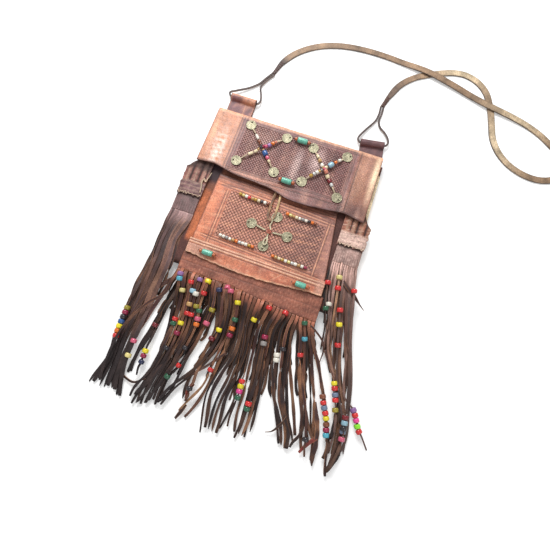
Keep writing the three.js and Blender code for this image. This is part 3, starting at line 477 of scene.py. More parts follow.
def glazed(name, roughness, coat, mottle):
    """Glass or stone in the colour of the paint."""
    material, tree, shader, where, painted = surface(name, roughness)
    shader.inputs["Coat Weight"].default_value = coat
    shader.inputs["Coat Roughness"].default_value = 0.08
    cloud = noise(tree, where, 0.45, 4, 0.6)
    stops = (0.35, 1 - mottle), (0.6, 1.0), (0.75, 1 + mottle)
    tree.links.new(toned(tree, painted.outputs["Color"], cloud, *stops), shader.inputs["Base Color"])
    tree.links.new(bumped(tree, cloud, 0.15, 0.0002), shader.inputs["Normal"])
    return material


def coin_finish(name):
    """Worn metal in the colour of the paint."""
    material, tree, shader, where, painted = surface(name, 0.4, 0.55)
    cloud = noise(tree, where, 0.5, 5, 0.65)
    stops = (0.32, 0.55), (0.5, 1.0), (0.7, 1.25)
    tree.links.new(toned(tree, painted.outputs["Color"], cloud, *stops), shader.inputs["Base Color"])
    uneven_shine(tree, shader, cloud, 0.28, 0.62)
    tree.links.new(bumped(tree, noise(tree, where, 2.0, 4), 0.3, 0.0002), shader.inputs["Normal"])
    return material


flap_grain = leather("flap_leather", roughness=0.4, stain=0.25, bump=0.4, tooled=4.5, creased=0.35)
front_grain = leather("front_leather", roughness=0.42, stain=0.25, bump=0.4, tooled=5.5, creased=0.35)
body_grain = leather("body_leather", roughness=0.55, stain=0.4, specular=0.25, creased=0.4)
band_grain = leather("band_leather", roughness=0.45, stain=0.25, creased=0.4)
side_grain = leather("side_leather", roughness=0.6, stain=0.35, specular=0.35, creased=0.4)
fringe_grain = leather("fringe_leather", roughness=0.45, stain=0.35, fibre=1.0, bump=0.4, specular=0.35)
dark_grain = leather("dark_leather", roughness=0.5, stain=0.3)
strap_grain = leather("strap_leather", roughness=0.55, stain=0.5, fibre=1.0)
rough_side = leather("flesh_side", roughness=0.8, stain=0.3, grain=1.6, bump=0.6, specular=0.25)
bead_glass = glazed("glass_beads", 0.22, 0.4, 0.12)
turquoise = glazed("turquoise", 0.3, 0.3, 0.35)
metal = coin_finish("coin_metal")

# Sizes, the same as those of the solids
BODY_LENGTH, TOP_WIDTH, BOTTOM_WIDTH = 232.0, 254.0, 262.0
TOP, BOTTOM = BODY_LENGTH / 2, -BODY_LENGTH / 2
TOUCH = 0.3
BACK = 2.0
FRONT_FOOT, BAND_TOP, FRONT_LENGTH = BOTTOM + 17, BOTTOM + 38, 112
BORDER_FOOT, BORDER_TOP = BOTTOM + 128.3, BOTTOM + 140
SIDE_SLIT, SIDE_TORN, SIDE_TOP = BOTTOM + 70, BOTTOM + 96, BOTTOM + 152
FRONT_THICK, BORDER_THICK, BAND_THICK, FRINGE_THICK, PANEL_THICK = 2.8, 2.0, 1.5, 1.8, 1.5
FRINGE_MIDDLE, FRINGE_HALF = 2, 101.0
POUCH_FLOOR, POUCH_TOP, POUCH_WALL, SHOULDER = 2.3, 13.3, 2.0, 4.5
POUCH_RIM = TOP - 20
ON_POUCH, ON_FRONT = 13.6, 16.9
FLAP_UNDER, FLAP_THICK, FLAP_WIDTH, FLAP_SHIFT = 18.4, 2.2, 251.0, -2.5
HINGE_Y = 116.15
STRAND_THICK, STRAND_WIDTH = 1.5, 4.6
UNDER_HALF, UNDER_MIDDLE, UNDER_THICK = FRINGE_HALF - 4, 3.65, 7.0
SIDE_TRIM, PANEL_RISE = 1.5, 2.4
PONY_RADIUS, PONY_LENGTH = 4.3, 6.0

# Tints as they look on a screen
DARK = colour(72, 48, 44)
PLUM = colour(112, 74, 74)
BROWN = colour(138, 88, 70)
TAN = colour(206, 150, 112)
CREAM = colour(226, 200, 170)
BEADS = {
    "red": colour(214, 50, 48), "yellow": colour(240, 220, 44), "paleyellow": colour(228, 212, 136),
    "hotpink": colour(232, 70, 150), "lime": colour(140, 226, 44),
    "orange": colour(232, 120, 40), "pink": colour(216, 96, 124), "magenta": colour(150, 34, 70),
    "purple": colour(150, 108, 164), "turq": colour(84, 170, 190), "paleblue": colour(150, 190, 206),
    "blue": colour(52, 92, 150), "darkblue": colour(40, 48, 84), "green": colour(46, 98, 70),
    "olive": colour(156, 140, 44), "dark": colour(46, 40, 44), "darkred": colour(120, 28, 36),
    "white": colour(236, 230, 216), "grey": colour(150, 144, 140), "greyblue": colour(110, 126, 150),
    "tan": colour(192, 150, 96), "brown": colour(132, 74, 50), "gold": colour(190, 150, 62),
    "cream": colour(232, 214, 176), "salmon": colour(214, 130, 106), "clear": colour(200, 200, 196),
}


def body_half(y):
    return mix(BOTTOM_WIDTH, TOP_WIDTH, (y - BOTTOM) / BODY_LENGTH) / 2


# Strap and laces: flat free cords, along the same points as the solids
STRAP = [
    (98.9, 212.4, 1.5), (104, 231, 1.4), (115, 257, 1.4), (131, 275, 1.4), (145, 284.5, 1.4), (157, 291, 1.4),
    (171, 298, 1.4), (187, 304, 1.4), (206, 306, 1.4), (226, 300, 1.4), (242, 287, 1.4), (251, 271, 1.4),
    (257, 256, 1.4), (263, 236, 1.4), (270, 214, 1.4), (283, 195, 1.4), (303, 180, 1.4), (328, 172, 1.4),
    (350, 172, 1.4), (369, 180, 1.4), (379, 197, 1.4), (374, 217, 1.4), (355, 231, 1.4), (336, 243, 1.4),
    (314, 252, 1.8), (287, 258, 3.4), (254, 263.5, 4.6), (222, 272, 3.4), (196, 279.5, 4), (170, 286, 4.7),
    (152, 290, 4.7), (134, 292.5, 4), (112, 295, 2), (80, 298, 1.4), (44, 298, 1.4), (8, 293, 1.4),
    (-24, 281, 1.4), (-51, 261, 1.4), (-68, 237, 1.4), (-76, 212, 1.5),
]
TUNNEL_Z = 5.6
LEFT_TAB = (-102.5, TOP, 0.0, 28.0, 39.0)
RIGHT_TAB = (106.0, TOP + 17.5 * math.tan(math.radians(9)), math.radians(9), 19.0, 35.0)
LEFT_LACE = [
    (25, 59, 2.2), (18, 47, 2.2), (12, 36, 2.2), (-1, 23, 3), (-15, 13, 4.6), (-24.5, 5.5, TUNNEL_Z),
    (-21.5, 0.3, TUNNEL_Z), (-15, 0, TUNNEL_Z), (15, 0, TUNNEL_Z), (21.5, 0.3, TUNNEL_Z), (24, 6, 5),
    (21, 18, 3.4), (16, 31, 2.4), (21, 45, 2.2), (29, 58, 2.2),
]
RIGHT_LACE = [
    (5.5, 66, 2.2), (4, 52, 2.2), (0, 40, 2.2), (-13, 22, 3.4), (-22, 6, 5), (-19.5, 0.3, TUNNEL_Z),
    (-13, 0, TUNNEL_Z), (13, 0, TUNNEL_Z), (19.5, 0.3, TUNNEL_Z), (22.5, 5, TUNNEL_Z), (22, 11, 5),
    (17, 21, 3.4), (8, 31, 2.6), (5.5, 41, 2.2), (8, 53, 2.2), (9.5, 65, 2.2),
]
FOLD_BULGE = 8.0


def in_tab(points, tab):
    """Points given from the middle of a tab's tunnel, in the bag's own directions."""
    x, y, turn, length, _ = tab
    p = np.array(points, float)
    p[:, 1] += FOLD_BULGE + length
    out = p.copy()
    out[:, 0] = x + p[:, 0] * math.cos(turn) - p[:, 1] * math.sin(turn)
    out[:, 1] = y + p[:, 0] * math.sin(turn) + p[:, 1] * math.cos(turn)
    return out


def line_length(path):
    return float(np.linalg.norm(np.diff(path, axis=0), axis=1).sum())


def make_cord(name, points, width, thick, tint, edge, count, twist=0.0, replaces=(), extra=(), narrowing=1.0):
    path = spline(points, count)
    skin = Skin()
    ribbon(skin, path, width * narrowing, thick, tint, edge, twist)
    slot = "strap_leather" if width > LACE_SIZE[0] else "dark_leather"
    obj = skin.make(name, [strap_grain], replaces=replaces, slot=slot)


def lashing(name, points, turns, radius):
    """Thin thong wound round a strap's end."""
    middle = spline(points, 60)
    along = np.linspace(0, 1, len(middle))
    _, across, up = frames(middle)
    angle = along * turns * math.tau
    path = middle + across * (radius * np.cos(angle))[:, None] + up * (0.45 * radius * np.sin(angle))[:, None]
    path[:, 2] = np.maximum(path[:, 2], 0.9)
    skin = Skin()
    ribbon(skin, path, 1.6, 1.1, DARK * 1.1, BROWN * 0.8)
    return skin.make(name, [dark_grain], slot="dark_leather")


STRAP_SIZE, STRAP_POINTS = (10.0, 2.2), 420
LACE_SIZE, LACE_POINTS = (2.8, 2.3), 150
LACE, LACE_EDGE = colour(70, 56, 54), colour(132, 108, 92)
LASHING_TURNS, LASHING_RADIUS = 7, 2.9
run = np.linspace(0, 1, STRAP_POINTS)
strap_tint = paint(
    colour(158, 128, 100),
    (ease((0.07 - run) / 0.04), colour(78, 62, 56)),
    (0.55 * (0.5 + 0.5 * np.sin(run * 31 + 1)), colour(120, 96, 76)),
    (groove(run - 0.16, 0.04), colour(214, 192, 158)),
    (groove(run - 0.30, 0.05), colour(206, 184, 152)),
    (groove(run - 0.55, 0.05), colour(200, 178, 146)),
    (ease((run - 0.95) / 0.03), colour(70, 56, 52)),
)
strap_edge = paint(strap_tint, (0.85 + 0.15 * np.sin(run * 47), colour(78, 60, 48)))
narrowing = 0.5 + 0.5 * ease(np.minimum(run, 1 - run) / 0.04)
right_end = lashing("strap_lashing_right", STRAP[:2], LASHING_TURNS, LASHING_RADIUS)
left_end = lashing("strap_lashing_left", STRAP[:-3:-1], LASHING_TURNS, LASHING_RADIUS)
make_cord(
    "strap_leather", STRAP, *STRAP_SIZE, strap_tint, strap_edge, STRAP_POINTS,
    twist=0.05 * np.sin(run * 22), replaces=["strap"], extra=[right_end, left_end], narrowing=narrowing,
)
for side, points, tab in (("left", LEFT_LACE, LEFT_TAB), ("right", RIGHT_LACE, RIGHT_TAB)):
    make_cord(
        f"lace_{side}_thong", in_tab(points, tab), *LACE_SIZE, LACE, LACE_EDGE, LACE_POINTS,
        replaces=[f"lace_{side}"],
    )


# Body
def make_back():
    v, u = grid(117, 132)
    y = mix(BOTTOM, TOP, v)
    x = mix(-body_half(y), body_half(y), u)
    edge = np.minimum.reduce([x + body_half(y), body_half(y) - x, y - BOTTOM, TOP - y])
    stitch = groove(edge - 4.5, 0.8) * (np.sin((x + y) * math.tau / 6) > -0.3)
    tint = paint(
        BROWN,
        (0.5 + 0.5 * smooth_noise(x, y, 90, 3), PLUM),
        (0.8 * stitch, CREAM * 0.7),
        (0.4 * spot(x, y, 0, -20, 90, 70), TAN),
    )
    skin = sheet(x, y, BACK / 2, BACK, -0.15 * stitch, tint, BROWN, tint)
    skin.make("back_leather", [body_grain, body_grain], replaces=["back_panel"], slot="body_leather")


def make_pouch():
    """A tray of leather with rounded shoulders, open towards the top edge."""
    wall = POUCH_TOP - POUCH_FLOOR - SHOULDER
    bend = SHOULDER * math.pi / 2
    reach = wall + bend

    def turned_down(run):
        """Inset from the outline and height over the floor, after so much leather from the lower edge."""
        angle = np.clip((run - wall) / SHOULDER, 0, math.pi / 2)
        inset = np.where(run < wall, 0, SHOULDER * (1 - np.cos(angle)) + np.maximum(0, run - reach))
        high = np.where(run < wall, run, wall + SHOULDER * np.sin(angle))
        return inset, high

    steps = np.concatenate([np.linspace(0, wall, 5)[:-1], np.linspace(wall, reach, 8)])
    half = body_half(BOTTOM)
    inner = np.linspace(reach, half, 70)[1:]
    side = np.concatenate([steps, inner])
    inset, high = turned_down(side)
    along = np.concatenate([steps, np.linspace(reach, POUCH_RIM - BOTTOM + reach - SHOULDER, 110)[1:]])
    foot, foot_high = turned_down(along)
    x_in = np.concatenate([inset, (2 * half - inset)[::-1]])
    x_high = np.concatenate([high, high[::-1]])
    yy = BOTTOM + foot
    shrink = body_half(yy) / half
    x = (x_in[None, :] - half) * shrink[:, None]
    y = np.broadcast_to(yy[:, None], x.shape)
    z = POUCH_FLOOR + np.minimum(x_high[None, :], foot_high[:, None])
    soft = smooth_noise(x, y, 70, 11) * 0.35 * between(np.abs(x), -1, 118, 10)
    shape = np.stack([x, y, z - POUCH_WALL / 2 + np.minimum(soft, 0)], axis=-1)
    shape[..., 0] *= 1 - (POUCH_WALL / 2) * ease((np.abs(x) - 100) / 30) / 131
    shape[..., 2] = np.maximum(shape[..., 2], POUCH_FLOOR)
    edge = body_half(y) - np.abs(x)
    tint = paint(
        colour(150, 92, 68),
        (0.5 + 0.6 * smooth_noise(x, y, 60, 5), BROWN * 0.8),
        (between(x, -108, -94, 5) * between(y, -84, -4, 10), colour(190, 108, 70)),
        # painted shade on the pouch under the left side leathers
        (between(x, -140, -106, 4), colour(82, 52, 50)),
        # painted shadow under the flap, left of the front
        (between(x, -110, -90, 5) * ease((y - 2) / 12), colour(62, 42, 46)),
        # painted shade at the lower left, beside the front
        (between(x, -112, -90, 5) * ease((-76 - y) / 10), colour(92, 56, 50)),
        # painted shade beside the raised front's right edge
        (between(x, 82, 108, 5), colour(88, 54, 48)),
        (ease((8.5 - edge) / 2.5) * ease((x - 90) / 10), colour(250, 226, 188)),
        # painted shade along the bottom edge, under the fringe
        (0.7 * ease((BOTTOM + 12 - y) / 8), DARK),
    )
    skin = Skin()
    shell(skin, shape, POUCH_WALL, 0.0, tint, TAN, BROWN)
    skin.make("pouch_leather", [body_grain, rough_side], replaces=["pouch_front"], slot="body_leather")


make_back()
make_pouch()

# Flap and fold: one leather that bends over the bag's top edge
FLAP_EDGE = [0.362, 0.358, 0.384, 0.392, 0.401, 0.431, 0.435, 0.422, 0.409, 0.427]


def flap_length(u):
    """Length below the hinge line, along the worn lower edge."""
    p = np.array([FLAP_EDGE[0], *FLAP_EDGE, FLAP_EDGE[-1]]) * BODY_LENGTH
    t = np.clip(u, 0, 1) * (len(FLAP_EDGE) - 1)
    i = np.minimum(t.astype(int), len(FLAP_EDGE) - 2)
    w = t - i
    a, b, c, d = p[i], p[i + 1], p[i + 2], p[i + 3]
    return b + (c - a) / 2 * w + (-3 * b + 3 * c - (c - a) - (d - b) / 2) * w**2 + (
        2 * b - 2 * c + (c - a) / 2 + (d - b) / 2
    ) * w**3


def flap_height(x, y):
    """Height of the flap's under side, which droops at both ends."""
    down = (HINGE_Y - y) / (0.5 * (0.401 + 0.431) * BODY_LENGTH)
    droop = ease((np.abs(x - FLAP_SHIFT) - FLAP_WIDTH * 0.4) / (FLAP_WIDTH * 0.1))
    return FLAP_UNDER + 3 * ease(down) + 0.5 * np.sin(x / 19) * down - 1.2 * droop * ease(down)


def make_flap():
    columns, rows, bends = 252, 104, 26
    v, u = grid(rows, columns)
    x = mix(-FLAP_WIDTH / 2, FLAP_WIDTH / 2, u) + FLAP_SHIFT - 2 * (1 - u) * (1 - v)
    ragged = 0.35 * smooth_noise(x, 0 * x, 17, 21) * (1 - v) ** 3
    y = TOP - (1 - v) * (flap_length(u) - ragged)
    z = flap_height(x, y) + FLAP_THICK / 2
    flat = np.stack([x, y, z], axis=-1)
    angle = np.linspace(math.pi / 2, -math.pi / 2, bends)[:, None] * np.ones(columns)
    half = (FLAP_UNDER + FLAP_THICK) / 2
    swell = 0.25 * smooth_noise(x[-1:], 0 * x[-1:], 60, 9)
    fold = np.stack(
        [
            np.broadcast_to(x[-1], angle.shape),
            TOP + TOUCH + (FOLD_BULGE - 1.1 + swell) * np.cos(angle),
            half + (half - 1.1) * np.sin(angle),
        ],
        axis=-1,
    )
    centre = np.concatenate([flat, fold])
    steps = np.linalg.norm(np.diff(centre, axis=0), axis=2)
    xx = centre[..., 0]
    yy = y[0] + np.concatenate([np.zeros((1, columns)), np.cumsum(steps, axis=0)])
    lattice = between(xx, -79, 81, 2) * between(yy, 38 + 0.03 * xx, 110, 2)
    upright = [groove(xx - at, 0.7) for at in (-90, -86, -82, 82.5, 85, 92)]
    level = [groove(yy - at - 0.02 * xx, 0.7) for at in (111.5, 114.5, 36.5, 34, 28)]
    upright = np.maximum.reduce(upright) * between(yy, 20, 118, 4)
    lines = np.maximum(upright, np.maximum.reduce(level) * between(xx, -84, 88, 4))
    stipple = 0.3 * np.maximum(between(xx, -86, 110, 4) * between(yy, 22, 36, 3), between(xx, 88, 112, 4))
    scuff = np.maximum(0, smooth_noise(xx, yy * 0.25, 16, 31))
    mottle = smooth_noise(xx, yy, 11, 33)
    wrinkle = 0.22 * smooth_noise(xx, yy, 26, 8) + 0.12 * smooth_noise(xx, yy * 3, 14, 12) + 0.07 * mottle
    relief = wrinkle - 0.35 * lines - 0.1 * lattice
    relief = np.minimum(relief, np.where(np.arange(rows + bends)[:, None] < rows, 0.25, 0.0))
    left_end = ease((-86 - xx) / 6)
    tint = paint(
        colour(124, 80, 76),
        (0.4 * spot(xx, yy, -20, 62, 50, 26), colour(158, 112, 102)),
        # painted sheen: two pale streaks across the flap's middle
        (0.75 * spot(xx, yy, 8, 66, 6, 26), colour(222, 194, 188)),
        (0.8 * spot(xx, yy, 34, 84, 10, 18), colour(226, 196, 190)),
        (0.6 * spot(xx, yy, -46, 84, 12, 12), colour(196, 158, 148)),
        (0.5 * spot(xx, yy, 20, 62, 9, 22), colour(86, 54, 56)),
        (0.5 * spot(xx, yy, 56, 96, 12, 10), colour(92, 58, 56)),
        (0.3 * spot(xx, yy, -52, 100, 24, 8), colour(192, 150, 134)),
        (0.65 * between(yy, 14, 35, 6) * between(xx, -92, 6, 24), colour(178, 120, 98)),
        (0.5 * spot(xx, yy, -56, 28, 22, 6), colour(214, 164, 146)),
        (0.6 * spot(xx, yy, 60, 26, 46, 9), colour(118, 82, 76)),
        (left_end, colour(186, 124, 92)),
        (0.5 * left_end * (0.4 + 0.7 * mottle), colour(144, 90, 72)),
        # painted shade along the left end's lower edge
        (0.9 * left_end * spot(xx, yy, -106, 22, 26, 9), colour(136, 88, 76)),
        # a pale worn patch with a painted highlight over it, on the left end
        (0.72 * spot(xx, yy, -107, 56, 9, 30) * (0.8 + 0.9 * mottle), colour(240, 212, 198)),
        # painted highlight along the left end's curled edge
        (0.5 * spot(xx, yy, -123, 84, 4, 34), colour(226, 172, 136)),
        (ease((xx - 87) / 6), colour(142, 94, 76)),
        (0.5 * spot(xx, yy, 100, 80, 9, 40) * (0.8 + 0.5 * mottle), colour(190, 140, 110)),
        # painted highlight along the right end, where the flap bends down
        (0.95 * spot(xx, yy, 118, 90, 4, 34), colour(244, 212, 176)),
        (0.85 * spot(xx, yy, 106, 28, 20, 15), colour(84, 54, 52)),
        (0.4 * scuff, colour(188, 142, 124)),
        # lighter over the top fold: a worn edge and a painted highlight where the leather rolls over
        (0.85 * ease((yy - 114) / 5) * (0.75 + 0.3 * mottle), colour(220, 168, 136)),
        # painted shade along the rolled lower edge
        (0.75 * ease((4 - (yy - y[0])) / 3), colour(74, 46, 46)),
        (0.85 * lines, DARK * 0.8),
    )
    skin = Skin()
    uv = np.stack([xx, yy], axis=-1)
    shell(skin, centre, FLAP_THICK, relief, tint, DARK * 1.2, colour(120, 84, 66), uv)
    skin.lattice(np.maximum(lattice, stipple))
    obj = skin.make(
        "flap_tooled", [flap_grain, rough_side], replaces=["flap", "top_fold"], slot="flap_leather",
        ride=False,
    )
    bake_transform(obj)


make_flap()


# Tooled front, its border and its band
def front_edges(y):
    """Left and right edge of the front at a height up the bag."""
    t = (y - FRONT_FOOT) / FRONT_LENGTH
    half = mix(196, 178, t) / 2
    shift = mix(2, -3, t)
    return shift - half, shift + half


def make_front():
    v, u = grid(113, 186)
    y = FRONT_FOOT + v * FRONT_LENGTH
    left, right = front_edges(y)
    x = mix(left, right, u)
    lattice = between(x, -68, 76, 2) * between(y, -68 - 0.04 * x, 1.5 - 0.06 * x, 2)
    arch = y - (15.5 - 0.0011 * (x - 10) ** 2)

    def frame_lines(upright, level, width):
        upright = np.maximum.reduce([groove(x - at - 0.02 * y, width) for at in upright])
        level = np.maximum.reduce([groove(y - at + 0.05 * x, 0.8) for at in level])
        return np.maximum(upright * between(y, -78, 4, 3), level * between(x, -86, 90, 6))

    arches = np.maximum(groove(arch, 0.9), groove(arch + 3, 0.9)) * between(x, 4, 90, 4)
    slanted = np.maximum(groove(y - 9 - 0.1 * (x + 85), 0.9), groove(y - 14 + 0.02 * (x + 85), 0.9))
    slanted = slanted * between(x, -86, -20, 6)
    straight = frame_lines((-74, -70.5, 78, 81.5), (13.5, 8.5, 4.5, -71.5, -75), 0.75)
    lines = np.maximum.reduce([straight, arches, slanted])
    relief = 0.15 * smooth_noise(x, y, 30, 41) - 0.4 * lines - 0.2 * lattice - 0.15
    scuff = np.maximum(0, smooth_noise(x * 0.3, y, 9, 77))
    mottle = smooth_noise(x, y, 12, 43)
    ridges = frame_lines((-72.3, 79.8), (11, 6.5, -73.3), 0.8)
    tint = paint(
        colour(182, 110, 82),
        (0.5 * (0.5 + 0.8 * mottle), colour(160, 88, 64)),
        (0.8 * lattice, colour(176, 122, 104)),
        (0.8 * ease((x + 20) / 90) * between(y, -76, 8, 14), colour(138, 96, 86)),
        (0.5 * between(x, -94, -80, 6), colour(206, 120, 80)),
        (0.4 * scuff, colour(222, 158, 124)),
        (0.6 * ease((x - 82) / 8), colour(158, 112, 100)),
        # painted highlight on the raised ridges beside the border's tooled lines
        (0.6 * ridges, colour(228, 166, 130)),
        # painted shadow below the flap, over the front's upper right
        (0.45 * ease((y - 6 + 0.08 * x) / 8) * ease((x + 70) / 40), colour(104, 62, 54)),
        (0.85 * lines, colour(84, 46, 40)),
        (0.7 * ease((2.2 - (x - left)) / 2) + 0.5 * ease((2.5 - (right - x)) / 2), colour(96, 56, 46)),
    )
    skin = sheet(x, y, ON_POUCH + FRONT_THICK / 2, FRONT_THICK, relief, tint, colour(120, 74, 58), BROWN)
    skin.lattice(lattice)
    skin.make("front_tooled", [front_grain, rough_side], replaces=["tooled_front"], slot="front_leather")


def make_front_border():
    """The front's upper border, which shows in the shade below the flap."""
    v, u = grid(14, 120)
    y = mix(BORDER_FOOT, BORDER_TOP, v)
    left, right = front_edges(y)
    x = mix(left, right, u)
    lines = np.maximum(groove(y - 16 + 0.03 * x, 0.7), groove(y - 20 + 0.03 * x, 0.7))
    tint = paint(
        colour(186, 114, 84),
        (0.4 + 0.6 * smooth_noise(x, y, 18, 45), colour(150, 88, 68)),
        # darker towards the top: painted shade under the flap
        (0.7 * ease((y - 18) / 6), colour(84, 54, 52)),
        (0.7 * ease((x - 20) / 50), colour(96, 60, 54)),
        (0.6 * lines, DARK),
    )
    skin = sheet(x, y, ON_POUCH + 1.2, BORDER_THICK, -0.3 * lines, tint, colour(110, 70, 56), BROWN)
    skin.make("front_upper_border", [band_grain, rough_side], slot="front_leather")


def make_band():
    v, u = grid(42, 220)
    x = 1 + mix(-98, 98, u)
    belly = 6 * np.sin(math.pi * np.clip(u * 1.15 - 0.02, 0, 1)) + 0.8 * wobble(u * 31)
    belly = np.convolve(np.pad(belly[0], 4, mode="edge"), np.ones(9) / 9, mode="valid")[None, :]
    torn = belly + 0.5 * smooth_noise(x, 0 * x, 9, 51) * (1 - v)
    low = FRONT_FOOT - torn
    y = mix(low, BAND_TOP, v)
    ridges = np.maximum(groove(y + 80.5 + 0.012 * x, 0.9), groove(y + 84.3 + 0.015 * x, 1.1))
    dents = np.maximum(groove(y + 82.4 + 0.012 * x, 0.7), groove(y + 87 + 0.015 * x, 0.8))
    crease = groove(np.abs(x - 35 - 0.9 * (y + 92)), 1.2) * between(y, -99, -88, 3)
    relief = 0.35 * ridges - 0.3 * dents + 0.2 * smooth_noise(x, y, 22, 53) - 0.2 * crease
    tint = paint(
        colour(206, 124, 90),
        (0.5 + 0.7 * smooth_noise(x, y * 2, 30, 54), colour(176, 98, 72)),
        (0.45 * np.clip(smooth_noise(x, y * 1.5, 13, 55), 0, 1), colour(232, 168, 136)),
        # lighter ridges and darker dents: painted highlight and shade on the band's relief
        (0.8 * ridges, colour(244, 196, 164)),
        (0.8 * dents, colour(112, 62, 50)),
        (0.7 * ease((x + 62) / -8) * between(y, -104, -86, 4), colour(206, 156, 134)),
        (0.6 * ease((x - 84) / 8), colour(204, 158, 138)),
        (0.5 * crease, colour(228, 170, 138)),
        (0.5 * ease((y - low - 3) / -2), colour(232, 184, 150)),
    )
    level = ON_FRONT + BAND_THICK / 2 + 0.5 * ease(0.3 - v) * (1 + smooth_noise(x, y, 20, 5))
    skin = sheet(x, y, level, BAND_THICK, relief, tint, colour(236, 196, 160), BROWN)
    skin.make("band_leather", [band_grain, rough_side], replaces=["bottom_band"], slot="band_leather")


make_front()
make_front_border()
make_band()

# Fringes: the same locks and beads as the solids, as x and the drop below the bottom edge. A lock has its
# number of strands, the points that they pass, their tip, how far apart they run and end, and its rise
FRONT_LOCKS = [
    (1, [(-101, 30), (-102, 46), (-118, 65), (-132, 88), (-141, 114)], (-139, 181), 0, 0, 2.7),
    (1, [(-90, 18), (-87, 37), (-84, 75), (-82, 114)], (-91, 196), 0, 0, 0),
    (4, [(-73, 40), (-70, 78), (-72, 120), (-79, 160)], (-83, 191), 4.6, 5, 0),
    (3, [(-56, 45), (-52, 75), (-56, 110), (-64, 150)], (-67, 185), 5, 5, 0),
    (2, [(-36, 45), (-40, 85), (-52, 125), (-60, 152)], (-60, 184), 4.6, 4, 0),
    (2, [(-23, 45), (-18, 70), (-21, 95), (-27, 130)], (-28, 168), 4.2, 4, 0),
    (2, [(-12, 50), (-12, 85), (-24, 122), (-44, 156)], (-57, 184), 4.8, 5, 1),
    (2, [(-3, 45), (-3, 85), (-6, 124), (-9, 145)], (-25, 188), 5, 9, 0),
    (2, [(7, 45), (12, 88), (4, 125), (0, 152)], (8, 196), 4.6, 4, 1),
    (3, [(16, 45), (22, 88), (21, 125), (18, 155)], (20, 194), 4.8, 5, 0),
    (3, [(29, 45), (32, 85), (36, 125), (38, 152)], (38, 186), 5, 10, 0),
    (4, [(47, 45), (52, 88), (55, 125), (56, 155)], (56, 188), 4.8, 4, 0),
    (3, [(70, 40), (76, 80), (88, 125), (104, 156)], (115, 180), 7, 8, 0),
    (2, [(92, 40), (101, 68), (113, 105), (128, 142)], (139, 180), 5.6, 6, 0),
    (1, [(106, 45), (120, 82), (137, 128)], (152, 186), 0, 0, 0),
    (1, [(112, 51), (124, 69), (138, 98), (145, 114), (154, 131)], (162, 158), 0, 0, 0.8),
]
UNDER_LOCKS = [
    (2, [(-97, 57), (-102, 89), (-108, 124)], (-111, 158), 4.6, 4, 0),
    (1, [(-93, 50), (-97, 94), (-99, 129)], (-98, 160), 0, 0, 0),
    (4, [(-70, 50), (-68, 95)], (-77, 168), 6, 6, 0),
    (3, [(-42, 50), (-46, 95)], (-56, 140), 7, 6, 0),
    (2, [(-18, 45), (-16, 80)], (-26, 118), 6, 6, 0),
    (2, [(2, 45), (6, 85)], (-4, 140), 6, 5, 0),
    (2, [(22, 45), (28, 90)], (30, 150), 6, 6, 0),
    (2, [(44, 45), (52, 95)], (56, 160), 6, 6, 0),
    (2, [(72, 45), (92, 98)], (120, 165), 7, 7, 0),
    (2, [(98, 45), (118, 96)], (145, 165), 7, 7, 0),
]
LEFT_LOCKS = [
    (3, [(8, -31), (9, 9), (13, 49), (14, 79), (14, 119), (11, 149)], (20, 186), 3.2, 6, 0),
    (4, [(-2, -31), (-3, 9), (1, 49), (3, 79), (5, 119), (3, 149)], (2, 187), 3, 5, 0),
    (3, [(-12, -31), (-15, 9), (-10, 49), (-9, 79), (-10, 149)], (-16, 190), 3, 5, 0),
]
RIGHT_LOCKS = [
    (3, [(-24, -31), (-19, -9), (-12, 14)], (-6, 46), 4.2, 4, 0),
    (2, [(-15, -26), (-8, 14), (1, 46), (19, 78), (34, 119)], (41, 169), 4.6, 5, 0),
    (3, [(-8, -31), (2, 12), (9, 37), (24, 84), (34, 104), (46, 130)], (53, 169), 4, 5, 0),
    (3, [(5, -26), (14, 4), (23, 34), (34, 64), (42, 100), (49, 154)], (45, 186), 3.6, 0, 1),
    (1, [(12, -16), (20, 20), (30, 70), (39, 98), (54, 110), (67, 132)], (83, 152), 0, 0, 1),
]
FRONT_BEADS = [
    (-90, 16, "purple"), (-87, 22, "turq"), (-83, 37, "paleyellow"), (-72, 22, "red"), (-69, 33, "paleblue"),
    (-62, 16, "purple"), (-60, 35, "white"), (-51, 14, "yellow"), (-49, 32, "red"), (-66, 52, "tan"),
    (-65, 64, "red"), (-57, 50, "olive"), (-58, 63, "red"), (-45, 54, "green"), (-44, 66, "pink"),
    (-44, 73, "orange"), (-37, 67, "pink"), (-34, 48, "olive"), (-78, 75, "red"), (-76, 82, "green"),
    (-66, 79, "yellow"), (-66, 93, "magenta"), (-75, 115, "dark"), (-51, 106, "dark"), (-47, 132, "red"),
    (-59, 149, "green"), (-34, 21, "darkblue"), (-25, 16, "pink"), (-16, 18, "pink"), (-4, 28, "yellow"),
    (-1, 51, "green"), (0, 63, "orange"), (0, 72, "magenta"), (-18, 69, "yellow"), (-20, 85, "darkred"),
    (-27, 153, "dark"), (-7, 122, "red"), (25, 43, "yellow"), (36, 22, "red"), (60, 21, "red"),
    (44, 58, "magenta"), (45, 67, "grey"), (35, 122, "red"), (34, 129, "yellow"), (36, 136, "hotpink"),
    (38, 143, "green"), (54, 145, "red"), (55, 152, "green"), (70, 66, "dark"), (71, 74, "white"),
    (72, 81, "white"), (88, 26, "green"),
    (94, 45, "turq"), (99, 65, "red"), (140, 163, "dark"), (141, 107, "brown"), (145, 113, "red"),
    (148, 119, "greyblue"), (150, 125, "red"), (154, 131, "yellow"), (158, 138, "brown"),
    (161, 143, "magenta"), (165, 149, "turq"),
]
UNDER_BEADS = [(-101, 91, "darkred"), (-100, 127, "yellow"), (-100, 134, "magenta"), (-99, 142, "darkblue")]
